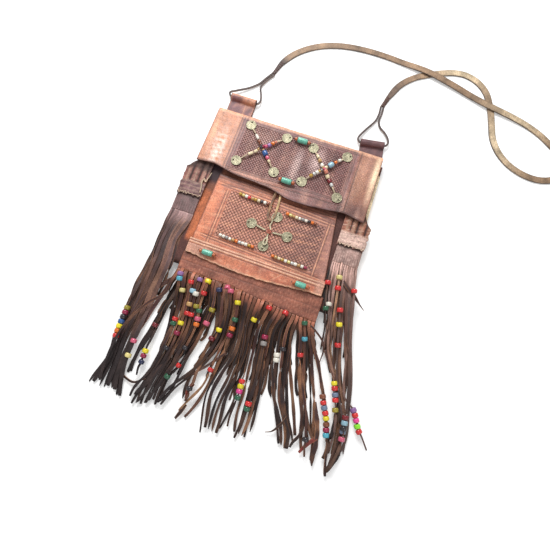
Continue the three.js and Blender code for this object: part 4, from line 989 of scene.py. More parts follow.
LEFT_BEADS = [
    (-146, 81, "olive"), (-146, 88, "magenta"), (-146, 94, "dark"), (-146, 100, "blue"),
    (-145, 107, "yellow"), (-144, 112, "orange"), (-144, 119, "red"), (-120, 121, "pink"),
    (-116, 141, "paleyellow"),
]
RIGHT_BEADS = [
    (115, -48, "paleyellow"), (103, -38, "red"), (117, -33, "red"), (141, -36, "red"), (111, -11, "white"),
    (111, -5, "green"), (128, -7, "red"), (133, 12, "yellow"), (139, 37, "red"), (149, 86, "yellow"),
    (149, 94, "red"), (151, 101, "greyblue"), (158, 105, "red"), (160, 118, "olive"), (177, 123, "darkred"),
    (177, 129, "paleblue"), (178, 135, "dark"), (180, 141, "greyblue"), (180, 148, "pink"),
    (186, 110, "purple"), (188, 116, "red"), (191, 121, "hotpink"), (195, 127, "lime"), (198, 132, "red"),
]
ROOT_BEND, FALL_REACH, OUTLINE_MARGIN = 5.0, 55.0, 14.0
LAYER_RISE = STRAND_THICK + TOUCH
OVER_RISE = 2 * LAYER_RISE
BEAD_SPACE = 0.6


def slit_y(u):
    """Upper end of the front fringe's slits."""
    return BOTTOM - mix(8, 18, ease((u - 0.25) / 0.75))


def falling(x, y, start, bed, reach):
    """Height of a strand that comes down from the bag to what it lies on."""
    outside = max(abs(x) - body_half(y), BOTTOM - y)
    return mix(start, bed, float(ease((outside - OUTLINE_MARGIN) / reach)))


def route(points, over=0, layer=0, alone=True, lower=0.0):
    """A strand's line on the ground, how it lies over or under the others, and its beads."""
    return {"points": points, "over": over, "layer": layer, "alone": alone, "lower": lower, "beads": []}


def rooted(root, t):
    """The first two points of a strand, from its root at a share t of the leather's width."""
    x, y = root(t)
    return [(x, y), (x, y - ROOT_BEND - 1)]


def as_given(x):
    return x


def lock_routes(locks, root, place_x=as_given):
    """Lines on the ground of all strands, by locks."""
    total = sum(lock[0] for lock in locks)
    routes = []
    for count, via, tip, apart, fan, over in locks:
        for strand in range(count):
            number = len(routes)
            aside = strand - (count - 1) / 2
            points = rooted(root, (number + 0.5) / total)
            points += [(place_x(x) + aside * apart, BOTTOM - drop) for x, drop in via]
            uneven = 5 * wobble(number + 7) if count > 1 else 0
            points.append((place_x(tip[0]) + aside * fan, BOTTOM - tip[1] - uneven))
            routes.append(route(points, over, number % 2, count == 1))
    return routes


def thread_beads(routes, beads):
    """Gives every bead to the strand that passes nearest."""
    marks = [spline(r["points"], 121) for r in routes]
    for x, drop, tint in beads:
        spot_at = np.array((x, BOTTOM - drop))
        found = [np.linalg.norm(m - spot_at, axis=1) for m in marks]
        nearest = [f.min() for f in found]
        host = int(np.argmin(nearest))
        crowded = sum(d < PONY_RADIUS + STRAND_WIDTH / 2 for d in nearest) > 1
        routes[host]["beads"].append((float(found[host].argmin()) / 120, crowded, tint))


def strand_line(flat, height_at, steps, count=90):
    """The strand's middle line, lifted where a bead rides over what lies below."""
    plan = spline(flat["points"], count)
    whole = line_length(plan)
    lift = flat["over"] * OVER_RISE + flat["layer"] * LAYER_RISE
    stops = [0, ROOT_BEND / whole] + [step / steps for step in range(1, steps + 1)]
    heights = []
    for index, stop in enumerate(stops):
        x, y = plan[int(round(stop * (count - 1)))]
        before = stops[index - 1] if index else 0
        after = stops[index + 1] if index + 1 < len(stops) else 1
        beside = [crowded for at, crowded, _ in flat["beads"] if before < at < after]
        rise = lift * float(ease(2 * stop))
        if beside and index:
            seats = [PONY_RADIUS - STRAND_THICK / 2 + (OVER_RISE if crowded else 0) for crowded in beside]
            rise = max(rise, flat["over"] * OVER_RISE + max(seats))
        heights.append(height_at(x, y) + rise)
    fine = np.interp(np.linspace(0, 1, count), stops, heights)
    kernel = np.hanning(9)
    fine = np.convolve(np.pad(fine, 4, mode="edge"), kernel / kernel.sum(), mode="valid")
    return np.column_stack([plan, fine])


# Face, cut edge and share of the strands; the lighter cut edges are partly raw leather, partly a painted
# highlight
TONES = [
    (colour(34, 21, 21), colour(120, 80, 56), 0.28), (colour(46, 28, 27), colour(156, 108, 76), 0.27),
    (colour(66, 38, 36), colour(190, 134, 96), 0.19), (colour(90, 52, 44), colour(206, 150, 110), 0.13),
    (colour(124, 78, 56), colour(222, 174, 132), 0.08), (colour(180, 128, 86), colour(236, 196, 154), 0.05),
]
ROOT_RUN = 22.0


def between_routes(locks, root, seed, place_x=as_given):
    """Shorter strands that lie lower, in the gaps of each lock."""
    chance = np.random.default_rng(seed)
    total = sum(lock[0] for lock in locks)
    routes, before = [], 0
    for count, via, tip, apart, fan, _ in locks:
        for gap in range(count + 1):
            aside = gap - count / 2
            stray = chance.uniform(-1.6, 1.6, 2)
            points = rooted(root, float(np.clip((before + gap) / total, 0.01, 0.99)))
            points += [(place_x(x) + aside * max(apart, 3.6) + stray[0], BOTTOM - drop) for x, drop in via]
            points.append((place_x(tip[0]) + aside * max(fan, 5) + 2 * stray[1], BOTTOM - tip[1]))
            reach = chance.uniform(0.42, 0.82) if count > 1 else chance.uniform(0.25, 0.4)
            part = spline(points, 120)[: int(120 * reach)]
            routes.append(route(part[::8], lower=1.7))
        before += count
    return routes


def strand_shape(path, whole, width, root_width, chance):
    """Side drift, turn and width along a strand."""
    run = np.linspace(0, 1, len(path))
    stray = chance.uniform(-1, 1, 5)
    away = ease((run * whole - 12) / 30)
    drift = 0.9 * away * (stray[0] * np.sin(run * 9 + stray[1] * 3) + 0.3 * stray[2] * np.sin(run * 19))
    turn = away * (0.3 * stray[3] * np.sin(run * (6 + 5 * abs(stray[1])) + stray[2] * 3) + 0.16 * stray[0])
    if chance.uniform() < 0.4:
        turn = turn + math.pi * ease((run - chance.uniform(0.3, 0.7)) / 0.13 + 0.5)
    curl = chance.uniform(-4, 4)
    drift = drift + curl * ease((run - 0.62) / 0.38) * np.sin((run - 0.62) * 8)
    own = width * chance.uniform(0.66, 1.25) * (1 + 0.12 * np.sin(run * 31 + 6 * stray[4]))
    wide = mix(root_width, own * (1 - 0.2 * run), ease(run * whole / 26))
    wide[-3:] *= (0.86, 0.62, 0.24) if stray[4] > 0.4 else (1.0, 1.0, 0.8)
    return run, drift, turn, wide


# the dark tint that strands take on towards their tips and at the lower left
DARKENING_TINT = colour(44, 36, 37)


def make_strands(
    skin, routes, beads_skin, height_of, steps, width, seed, root_width, root_tint=None, shade=1.0,
    root_run=ROOT_RUN, dye=None,
):
    """Every strand is cut leather that dries, twists and curls in its own way."""
    chance = np.random.default_rng(seed)
    shares = [share for _, _, share in TONES]
    for number, flat in enumerate(routes):
        line = strand_line(flat, height_of(flat), steps)
        line[:, 2] -= flat["lower"]
        whole = line_length(line)
        path = spaced(line, max(12, int(whole / 3.4)))
        run, drift, turn, wide = strand_shape(path, whole, width, root_width, chance)
        thick = STRAND_THICK * (1 - 0.25 * run)
        near = np.zeros(len(path))
        for at, _, _ in flat["beads"]:
            near = np.maximum(near, np.exp(-(((run - at) * whole) / 5.0) ** 2))
        _, across, _ = frames(path)
        path = path + across * (drift * (1 - near))[:, None]
        turn = turn * (1 - near)
        wide = mix(wide, np.minimum(wide, 3.2), near)
        upright = np.abs(np.sin(turn))
        wide = wide * (1 - 0.35 * upright)
        path[:, 2] = np.maximum(path[:, 2], 0.15 + (upright * wide + np.abs(np.cos(turn)) * thick) / 2)
        pick = int(chance.choice(len(TONES), p=shares))
        dark, light, _ = TONES[min(pick, 2) if flat["alone"] else pick]
        if dye is not None:
            worn = dye * chance.uniform(0.3, 1.9)
            dark, light = mix(dark, worn, 0.4), mix(light, worn, 0.4)
        # shade darkens the strands that lie low among the others: painted shade
        dark, light = dark * shade, light * (0.4 + 0.6 * shade)
        waves = chance.uniform(0, 6, 2)
        # strands grow darker towards their tips, and most at the lower left
        darker_left = ease((-24 - path[:, 0]) / 26) * ease((BOTTOM - 84 - path[:, 1]) / 46)
        darkening = np.clip(0.32 * ease((run - 0.3) / 0.5) + 0.62 * darker_left, 0, 1)
        tint = paint(
            dark,
            (0.3 * np.sin(run * 13 + waves[0]), light),
            (0.5 * np.sin(run * 21 + waves[1]), dark * 0.5),
            (0.6 * ease((run - 0.8) / 0.2), dark * 0.5),
            (darkening, DARKENING_TINT),
        )
        if root_tint is not None:
            # the root tint takes the same painted shade
            fresh = np.clip(root_tint * shade * chance.uniform(0.6, 2.1), 0, 1)
            tint = paint(tint, (1 - ease((run * whole - 3) / (root_run * chance.uniform(0.6, 1.4))), fresh))
        # cut edges in the light tone: partly the raw edge, partly a painted highlight along the strand
        edge = paint(light, (0.45 - 0.45 * np.sin(run * 9 + waves[1]), dark), (darkening, DARKENING_TINT))
        ribbon(skin, path, wide, thick, tint, edge, turn, start=number * 7.3)
        reached = 0.0
        for at, tint_name in sorted((at, tint) for at, _, tint in flat["beads"]):
            where = max(at * whole, reached + PONY_LENGTH / 2 + BEAD_SPACE)
            if where + PONY_LENGTH / 2 + BEAD_SPACE > whole:
                continue
            reached = where + PONY_LENGTH / 2
            t = where / whole
            middle = interpolated(path, run, t)
            ahead = interpolated(path, run, min(1, t + 3 / whole))
            size = chance.uniform(0.94, 1.04)
            glass = np.clip(BEADS[tint_name] * chance.uniform(0.85, 1.05), 0, 1)
            bead(beads_skin, middle, ahead - middle, PONY_RADIUS * size, PONY_LENGTH * size, glass)


def finish_fringe(name, skin, beads, slot="fringe_leather"):
    piece = f"{name}_fringe"
    skin.make(f"{piece}_leather", [fringe_grain, fringe_grain], replaces=[piece], slot=slot)
    beads.make(f"{piece}_beads", [bead_glass], slot="glass_beads")


def make_front_fringe():
    left, right = FRINGE_MIDDLE - FRINGE_HALF, FRINGE_MIDDLE + FRINGE_HALF
    v, u = grid(34, 180)
    x = mix(left, right, u)
    y = mix(slit_y(u), FRONT_FOOT - TOUCH, v)
    crease = groove(y + 113 + 0.02 * x, 1.0)
    relief = 0.15 * smooth_noise(x, y, 18, 61) - 0.25 * crease
    cut = 0.5 + 0.5 * np.cos((u * 35 - 0.5) * math.tau)
    tint = paint(
        colour(158, 96, 76),
        (0.5 + 0.6 * smooth_noise(x, y * 2, 30, 62), colour(128, 76, 62)),
        (0.4 * np.clip(smooth_noise(x * 2, y, 8, 63), 0, 1), colour(196, 138, 112)),
        # painted shadow along the pressed crease
        (0.6 * crease, colour(104, 62, 52)),
        # painted shadow under the band's torn edge
        (0.6 * ease((y + 103) / 6), colour(96, 58, 50)),
        # painted shade in the slits between the strands' roots
        (0.5 * (1 - cut) * ease(0.4 - v), colour(110, 66, 54)),
    )
    start = ON_POUCH + FRINGE_THICK / 2
    skin, beads = sheet(x, y, start, FRINGE_THICK, relief, tint, colour(150, 98, 76), BROWN), Skin()
    bed = 2.7 + STRAND_THICK / 2

    def root(t):
        return mix(left, right, t), float(slit_y(t)) + 1

    def height_of(_):
        return lambda x, y: falling(0, y, start, bed, FALL_REACH)

    routes = lock_routes(FRONT_LOCKS, root)
    thread_beads(routes, FRONT_BEADS)
    pitch = (right - left) / len(routes)
    roots = colour(146, 90, 70)
    make_strands(skin, routes, beads, height_of, 5, STRAND_WIDTH, 101, pitch * 0.9, roots)
    filling = between_routes(FRONT_LOCKS, root, 111)
    # the fillers lie lower, between the others: their root tint and colours are darkened as painted shade
    make_strands(skin, filling, beads, height_of, 5, STRAND_WIDTH, 112, pitch * 0.8, roots * 0.4, 0.72)
    finish_fringe("front", skin, beads)


def level_bed(height):
    """The same height everywhere, for every strand."""
    return lambda _: lambda x, y: height


def make_under_fringe():
    wall = BOTTOM - TOUCH
    v, u = grid(4, 90)
    x = FRINGE_MIDDLE + mix(-UNDER_HALF, UNDER_HALF, u)
    y = mix(wall - STRAND_THICK, wall, v)
    skin, beads = sheet(x, y, UNDER_MIDDLE, UNDER_THICK, 0.0, DARK, DARK, DARK), Skin()

    def root(t):
        return FRINGE_MIDDLE + mix(-UNDER_HALF, UNDER_HALF, t), wall - STRAND_THICK + 0.8

    routes = lock_routes(UNDER_LOCKS, root)
    thread_beads(routes, UNDER_BEADS)
    for flat in routes:
        flat["layer"] = 0
    low = TOUCH + STRAND_THICK / 2
    # the under fringe lies beneath the front fringe: its strands are darkened as painted shade
    make_strands(skin, routes, beads, level_bed(low), 3, STRAND_WIDTH, 202, STRAND_WIDTH, None, 0.7)
    filling = between_routes(UNDER_LOCKS, root, 211)
    make_strands(skin, filling, beads, level_bed(low + 0.9), 3, STRAND_WIDTH, 212, STRAND_WIDTH, None, 0.55)
    finish_fringe("under", skin, beads, "dark_leather")


def side_x(side, out):
    """A place beside the bag, as its distance out from the bottom corner."""
    return side * (BOTTOM_WIDTH / 2 + out)


def side_fall(x):
    """How far the side leathers sink beyond the pouch."""
    return -4.5 * ease((np.abs(x) - BOTTOM_WIDTH / 2 + 1) / 12)


def side_across(side, outer, inner, u, trim=0.0):
    """Places over a side leather's width, from left to right."""
    near, far = (inner + trim, outer - trim) if side > 0 else (outer - trim, inner + trim)
    return side_x(side, mix(near, far, u))


def make_side_fringe(name, side, outer, inner, locks, bead_list, tints, seed, loose):
    """The leather below a side's panel, slit into strands."""
    _, lower, _, band_tint = tints
    slit, torn = SIDE_SLIT, SIDE_TORN
    v, u = grid(30, 44)
    x = side_across(side, outer, inner, u, SIDE_TRIM)
    y = mix(slit, torn + 10, v)
    count = sum(lock[0] for lock in locks)
    ribs = np.cos(u * count * math.tau + math.pi)
    relief = 0.12 * smooth_noise(x, y, 14, seed) + 0.12 * ribs * ease((slit + 14 - y) / 10)
    tint = paint(
        lower,
        (0.5 + 0.6 * smooth_noise(x, y, 18, seed + 1), lower * 0.6),
        (0.5 * np.clip(smooth_noise(x, y * 2, 7, seed + 6), 0, 1), band_tint),
        # painted shade in the slits between the strands' roots
        (0.5 * ease(-ribs) * ease((slit + 20 - y) / 12), DARK),
        # painted shadow under the panel's torn edge
        (0.85 * ease((y - torn + 5) / 4), DARK * 0.7),
    )
    level = ON_POUCH + side_fall(x) + FRINGE_THICK / 2
    skin, beads = sheet(x, y, level, FRINGE_THICK, relief, tint, lower * 1.1, BROWN), Skin()
    bed = TOUCH + STRAND_THICK / 2

    def root(t):
        return side_across(side, outer, inner, t, SIDE_TRIM), slit + 1

    def place_x(out):
        return side_x(side, out)

    def height_of(flat):
        root_x = flat["points"][0][0]
        start = ON_POUCH + float(side_fall(root_x)) + FRINGE_THICK / 2
        if abs(root_x) > BOTTOM_WIDTH / 2 + STRAND_WIDTH / 2:
            return lambda x, y: mix(start, bed, float(ease((slit - y) / FALL_REACH)))
        return lambda x, y: falling(x, y, start, bed, FALL_REACH * 0.8)

    routes = lock_routes(locks, root, place_x)
    thread_beads(routes, bead_list)
    pitch = (outer - inner - 2 * SIDE_TRIM) / count
    root_run = ROOT_RUN if side < 0 else 2 * ROOT_RUN
    root_width = pitch * (1.25 if side < 0 else 0.84)
    make_strands(
        skin, routes, beads, height_of, 6, loose, seed, root_width, lower, root_run=root_run, dye=lower * 0.55
    )
    filling = between_routes(locks, root, seed + 11, place_x)
    # the fillers lie lower, between the others: their root tint and colours are darkened as painted shade
    make_strands(skin, filling, beads, height_of, 6, loose, seed + 12, pitch * 0.8, lower * 0.4, 0.72)
    finish_fringe(name, skin, beads)


def make_side_panel(name, side, outer, inner, tints, seed):
    """A side's upper leather, cut into strips above and torn below."""
    base, _, strip_tint, band_tint = tints
    torn, top = SIDE_TORN, SIDE_TOP
    v, u = grid(66, 60)
    x = side_across(side, outer, inner, u)
    outside = u if side > 0 else 1 - u
    x = x + side * 0.9 * smooth_noise(mix(torn, top, v), 0 * v, 13, seed + 3) * ease((outside - 0.8) / 0.2)
    ragged = 1.9 * wobble(np.round(u * 17) / 1.7 + side) * (1 - v) ** 2
    ragged = ragged + 0.8 * smooth_noise(x, 0 * x, 5, seed + 2) * (1 - v)
    worn_corner = (13 if side < 0 else 22) * ease((outside - 0.5) / 0.5)
    y = mix(torn, top - worn_corner, v) + ragged
    high = y - torn

    def upright(places, width, start):
        lines = [groove(x - side_x(side, out), width) for out in places]
        return np.maximum.reduce(lines) * ease((high - start) / 3)

    slots = upright((-1, -13), 1.9, 19)
    extra = upright((-22,), 1.1, 21)
    strips = upright((4, -7, -18, -27), 2.2, 18)
    folds = groove(high - 6, 1.3) + groove(high - 12.5, 1.2) + groove(high - 18.5, 1.4)
    crease = smooth_noise(x * 0.8, y * 1.5, 8, seed + 5)
    relief = 0.3 * folds - 0.9 * slots - 0.5 * extra + 0.25 * strips + 0.18 * crease
    tint = paint(
        base,
        (ease((high - 19) / 3), strip_tint),
        (0.8 * between(high, 2, 18, 4), band_tint),
        (0.6 * np.clip(crease, 0, 1), base * 0.5),
        (0.5 * np.clip(-crease, 0, 1), mix(band_tint, CREAM, 0.35)),
        # painted highlight on the strips' raised middles
        (0.6 * strips * (0.7 + 0.5 * crease), mix(strip_tint, CREAM, 0.55)),
        # painted highlight on the raised folds
        (0.5 * np.clip(folds, 0, 1), mix(band_tint, CREAM, 0.4)),
        # painted shade in the sunk slots
        (0.97 * np.maximum(slots, extra), DARK * 0.4),
        # painted shade under the flap, over the panel's top
        (0.85 * ease((high - 36) / 8), DARK * 0.6),
        (0.8 * ease((1.8 - (high - ragged)) / 1.5), DARK),
    )
    level = ON_POUCH + side_fall(x) + PANEL_RISE + PANEL_THICK / 2
    panel = sheet(x, y, level, PANEL_THICK, np.maximum(relief, -1.2), tint, base * 1.2, BROWN)
    along = np.linspace(0, 1, 90)
    ex = side_across(side, outer, inner, 0.02 + 0.96 * along)
    ey = torn + 1.2 + 1.6 * np.sin(along * 9 * math.tau) * np.sin(along * 3.3 + 1) + 0.7 * np.sin(along * 41)
    ez = ON_POUCH + side_fall(ex) + PANEL_RISE + PANEL_THICK + 0.25 + 0.35 * np.cos(along * 15 * math.tau)
    ribbon(panel, np.column_stack([ex, ey, ez]), 1.3, 0.9, mix(band_tint, CREAM, 0.6), DARK)
    panel.make(
        f"{name}_panel_leather", [side_grain, rough_side], replaces=[f"{name}_side_panel"],
        slot="side_leather" if side < 0 else "band_leather",
    )


make_front_fringe()
make_under_fringe()
# Tints of a side's panel, fringe, strips and folded band
LEFT_TINTS = colour(112, 78, 82), colour(132, 104, 102), colour(146, 92, 84), colour(134, 96, 98)
RIGHT_TINTS = colour(178, 130, 116), colour(184, 148, 138), colour(150, 88, 66), colour(224, 190, 178)
# Sides, as name, direction, outer and inner edge, locks, beads, tints, seed and width of a strand
SIDES = [
    ("left", -1, 11, -26, LEFT_LOCKS, LEFT_BEADS, LEFT_TINTS, 303, 6.2),
    ("right", 1, 5, -34, RIGHT_LOCKS, RIGHT_BEADS, RIGHT_TINTS, 404, 4.2),
]
for name, side, outer, inner, locks, beads, tints, seed, loose in SIDES:
    make_side_fringe(name, side, outer, inner, locks, beads, tints, seed, loose)
    make_side_panel(name, side, outer, inner, tints, seed)

RED_BROWN = colour(122, 50, 46)
# Thongs that cross the rest, as points (x, drop below the bottom edge, height), width, tint and taper
STRAYS = [
    ([(98, 24, 14.2), (110, 31, 12), (120, 39, 9), (125, 51, 6), (125, 65, 4), (127, 78, 2.4)],
     2.6, DARK, 0.9),
    ([(118, -49, 17), (128, -41, 18.5), (141, -32, 17), (152, -24, 13), (160, -19, 9)], 5.4, DARK, 0.9),
    ([(3, 95, 8), (-16, 120, 7.4), (-36, 141, 7.4), (-55, 166, 7)], 3.4, DARK, 0.9),
    ([(127, 48, 7), (144, 72, 8.5), (158, 90, 8)], 5.0, DARK, 0.4),
    ([(-108, -102, 19.2), (-109, -110, 19.4), (-111, -119, 19.2), (-109, -124, 19), (-106.5, -120, 19.4),
      (-104, -128, 19.4), (-103, -136, 18.6)], 1.7, CREAM * 0.7, 0.4),
    ([(-97, 20, 12), (-112, 36, 7.5), (-126, 52, 4), (-136, 80, 3), (-142, 104, 3)], 6.0, DARK * 1.2, 0.9),
    ([(-99, 24, 11), (-106, 44, 6), (-113, 70, 3.5), (-119, 104, 3), (-127, 138, 2.5)], 5.4, PLUM * 0.6, 0.7),
    ([(106, 146, 6.5), (102, 156, 7), (93, 169, 6), (85, 173, 4)], 3.2, DARK * 0.4, 0.8),
    ([(-119, 153, 3.4), (-119, 164, 3.4), (-110, 169, 4), (-99, 170, 5), (-86, 160, 6)],
     3.2, DARK * 0.4, 0.3),
    ([(-24, 146, 6), (-27, 157, 8), (-27, 167, 6)], 5.2, RED_BROWN, 0.5),
    ([(-24, 174, 5), (-27, 185, 6), (-31, 195, 4)], 5.0, DARK * 0.5, 0.3),
    ([(150, 158, 6), (141, 169, 8), (134, 182, 6)], 5.4, RED_BROWN, 0.4),
]
# Wide strands that fell over the others, as points (x, drop below the bottom edge)
FALLEN = [
    [(-59, 84), (-70, 133), (-78, 167), (-87, 193)], [(-52, 88), (-60, 133), (-65, 162), (-73, 189)],
    [(-69, 80), (-81, 131), (-89, 164), (-96, 188)], [(-42, 92), (-46, 138), (-49, 166), (-60, 183)],
    [(-62, 90), (-76, 138), (-84, 168), (-92, 184)], [(83, 105), (99, 139), (113, 163), (117, 183)],
    [(64, 84), (81, 125), (101, 158), (110, 181)], [(122, 118), (129, 149), (126, 169), (122, 180)],
    [(163, 104), (167, 136), (165, 162), (165, 179)], [(95, 59), (115, 107), (133, 141), (147, 162)],
    [(38, 50), (56, 100), (63, 138), (67, 179)], [(166, 108), (177, 146), (181, 174), (174, 193)],
    [(140, 96), (158, 140), (169, 176), (175, 198)], [(136, 116), (148, 150), (153, 174), (155, 192)],
]
FALLEN_REST, FALLEN_RUN, FALLEN_WIDTH = 6.6, 26.0, 6.2


def make_strays():
    skin = Skin()
    run = np.linspace(0, 1, 40)
    for number, (points, width, tint, taper) in enumerate(STRAYS):
        path = spline([(x, BOTTOM - drop, z) for x, drop, z in points], len(run))
        wide = width * (1 - taper * ease((run - 0.45) / 0.55))
        turn = 0.35 * np.sin(run * 7 + number)
        ribbon(skin, path, wide, 1.3, tint, mix(tint, TAN, 0.5), turn, start=number * 9)
    skin.make("stray_thongs", [fringe_grain], slot="fringe_leather")


def make_fallen():
    skin, none = Skin(), Skin()
    routes = [route([(x, BOTTOM - drop) for x, drop in points]) for points in FALLEN]

    def height_of(flat):
        top = flat["points"][0][1]
        return lambda x, y: mix(2.5, FALLEN_REST, float(ease((top - y) / FALLEN_RUN)))

    make_strands(skin, routes, none, height_of, 6, FALLEN_WIDTH, 505, 2.0)
    skin.make("fallen_strands", [fringe_grain], slot="fringe_leather")


make_strays()
make_fallen()


# Tabs
TAB_OUTER, TAB_THICK, TAB_ALONG, TAB_ACROSS = 5.3, 2.0, 70, 34
FOLD_HALF = (FLAP_UNDER + FLAP_THICK) / 2


def beside_fold(z):
    """Distance beyond the bag's top edge at which a tab starts, clear of the fold."""
    return 2 * TOUCH + FOLD_BULGE * math.sqrt(max(0, 1 - ((z - FOLD_HALF) / FOLD_HALF) ** 2))


def make_tab(name, tab, tints):
    """A strip that comes out from the fold and turns back over a tunnel."""
    x0, y0, turn, length, width = tab
    outer, thick = TAB_OUTER, TAB_THICK
    upper, lower, light = tints
    single, double = beside_fold(2 * TOUCH + thick), beside_fold(2 * TOUCH + 2 * thick)
    middle = FOLD_BULGE + length
    meet = math.asin((2 * thick - outer) / outer)
    angles = np.linspace(-math.pi / 2, math.pi - meet, 26)
    radius = outer - thick / 2
    line = [(single, TOUCH + thick / 2)]
    line += [(y, TOUCH + thick / 2) for y in np.linspace(single, middle, 14)[1:-1]]
    line += [(middle + radius * math.cos(a), TOUCH + outer + radius * math.sin(a)) for a in angles]
    line += [(y, TOUCH + 1.5 * thick) for y in np.linspace(line[-1][0], double, 12)[1:]]
    line = spaced(np.array(line), TAB_ALONG)
    run, share = grid(TAB_ALONG, TAB_ACROSS)
    x = mix(-width / 2, width / 2, share)
    y, z = (line[:, axis, None] + 0 * x for axis in (0, 1))
    z = z + 0.25 * np.clip(smooth_noise(x, y, 15, 91), 0, 1) * (z > 3)
    worn = smooth_noise(x, run * 60, 12, 92)
    down = (run - 0.5) / 0.5
    tint = paint(
        lower,
        (0.3 * np.clip(worn, 0, 1), light),
        (0.4 * np.clip(-worn, 0, 1), DARK),
        (upper * spot(x, down, width * 0.26, 0.28, width * 0.3, 0.22) * (0.8 + 0.4 * worn), light),
        # painted highlight where the tab turns over its tunnel
        (0.9 * ease((0.17 - np.abs(down)) / 0.1), mix(lower, light, upper)),
        (0.5 * ease((np.abs(x) - width / 2 + 3) / 2), mix(lower, light, 0.6 * upper)),
        (0.5 * groove(x - 3 - 0.05 * run * 60, 0.8) * upper, light),
    )
    cx = x0 + x * math.cos(turn) - y * math.sin(turn)
    cy = y0 + x * math.sin(turn) + y * math.cos(turn)
    centre = np.stack([cx, cy, z], axis=-1)[:, ::-1]
    skin = Skin()
    uv = np.stack([x, run * 90], axis=-1)[:, ::-1]
    shell(skin, centre, thick, 0.0, tint[:, ::-1], DARK * 1.3, colour(120, 84, 70), uv)
    skin.make(f"{name}_leather", [dark_grain, rough_side], replaces=[name], slot="dark_leather")


make_tab("tab_left", LEFT_TAB, (0.95, colour(122, 80, 84), colour(222, 158, 122)))
make_tab("tab_right", RIGHT_TAB, (0.12, colour(100, 66, 70), colour(150, 104, 96)))

# Coins, strings, stones and thongs
COIN_RADIUS, COIN_THICK, HOLE = 7.4, 1.1, 1.1
COIN_RINGS, COIN_SIDES = 30, 72
COIN_LIGHT, COIN_DEEP = colour(216, 208, 174), colour(74, 70, 52)
# Coins, as x, distance down from the top edge or up from the front's middle, and the turn of the hole
FLAP_COINS = [
    (-74, 8.5, 90), (-75, 69, 190), (-18, 11.5, 25), (-19, 68.5, 300),
    (23, 14, 120), (73, 11.5, 20), (23, 69.5, 200), (77, 76.5, 320),
]
FRONT_COINS = [(4, 24, 60), (-27, 4, 180), (26, 1, 10), (-1, -22, 270)]
FRONT_MIDDLE = np.array((3.0, BOTTOM + 0.345 * BODY_LENGTH))


def flap_seat(x, y):
    """Height at which a coin rests on the flap."""
    i, j = np.meshgrid([-1, 0, 1], [-1, 0, 1])
    return float(np.max(flap_height(x + i * COIN_RADIUS, y + j * COIN_RADIUS))) + FLAP_THICK + TOUCH


def make_coin(name, place, hole, seed, body=BAG):
    """A worn disc struck with rings, dots and a rosette, with a hole near its rim."""
    rings, sides = COIN_RINGS, COIN_SIDES
    angle = math.radians(hole)
    eye = np.array((math.cos(angle), math.sin(angle))) * COIN_RADIUS * 0.58
    around = np.arange(sides) * math.tau / sides
    circle = np.column_stack([np.cos(around), np.sin(around)])
    chance = np.random.default_rng(seed)
    uneven = 1 + 0.018 * np.sin(around * 3 + chance.uniform(0, 6)) + 0.012 * np.sin(around * 5)
    t = np.linspace(0, 1, rings)[:, None, None]
    flat = mix(eye + HOLE * circle, circle * (COIN_RADIUS * uneven)[:, None], t)
    r = np.linalg.norm(flat, axis=-1)
    phi = np.arctan2(flat[..., 1], flat[..., 0])
    rim = ease((r - 6.5) / 0.35) * ease((7.35 - r) / 0.3)
    dots = groove(r - 5.75, 0.35) * (0.5 + 0.5 * np.cos(44 * phi))
    ring = groove(r - 4.9, 0.28)
    flower = between(r, 0.8, 4.2, 0.8) * (0.5 + 0.5 * np.cos(8 * phi + 2 * r * (seed % 2)))
    worn = 0.6 + 0.4 * np.clip(smooth_noise(flat[..., 0], flat[..., 1], 6, seed), -1, 1)
    relief = (0.2 * rim + 0.13 * dots + 0.12 * ring + 0.14 * flower) * worn
    relief[-1] = -0.2
    bend = 0.012 * (flat[..., 0] * math.cos(seed) + flat[..., 1] * math.sin(seed)) ** 2
    top = np.dstack([flat, COIN_THICK - 0.2 + relief + bend * 0.4])
    low = np.dstack([flat, np.zeros_like(r) + bend * 0.4])
    wall_low = low[-1] + np.array((0, 0, 0.2))
    loops = np.concatenate([low, wall_low[None], top[::-1]])
    points = loops + np.array(place)
    height = np.concatenate([np.zeros((rings + 1, sides)), relief[::-1]])
    tint = paint(COIN_DEEP, (0.12 + height / 0.2, COIN_LIGHT))
    tint[: rings + 1] = COIN_DEEP
    tint[-1] = COIN_DEEP * 0.4
    faces = ring_faces(len(loops), sides)
    uv = loops[..., :2] + seed * 20
    skin = Skin()
    skin.add(points, faces, uv, tint.reshape(-1, 3), [0] * len(faces))
    skin.make(f"{name}_struck", [metal], body=body, replaces=[name], slot="coin_metal")


for index, (x, down, hole) in enumerate(FLAP_COINS):
    place = x, TOP - down, flap_seat(x, TOP - down)
    make_coin(f"flap_coin_{index + 1}", place, hole, index + 1, FLAP)
for index, (x, up, hole) in enumerate(FRONT_COINS):
    place = *(FRONT_MIDDLE + (x, up)), ON_FRONT
    make_coin(f"front_coin_{index + 1}", place, hole, index + 11)

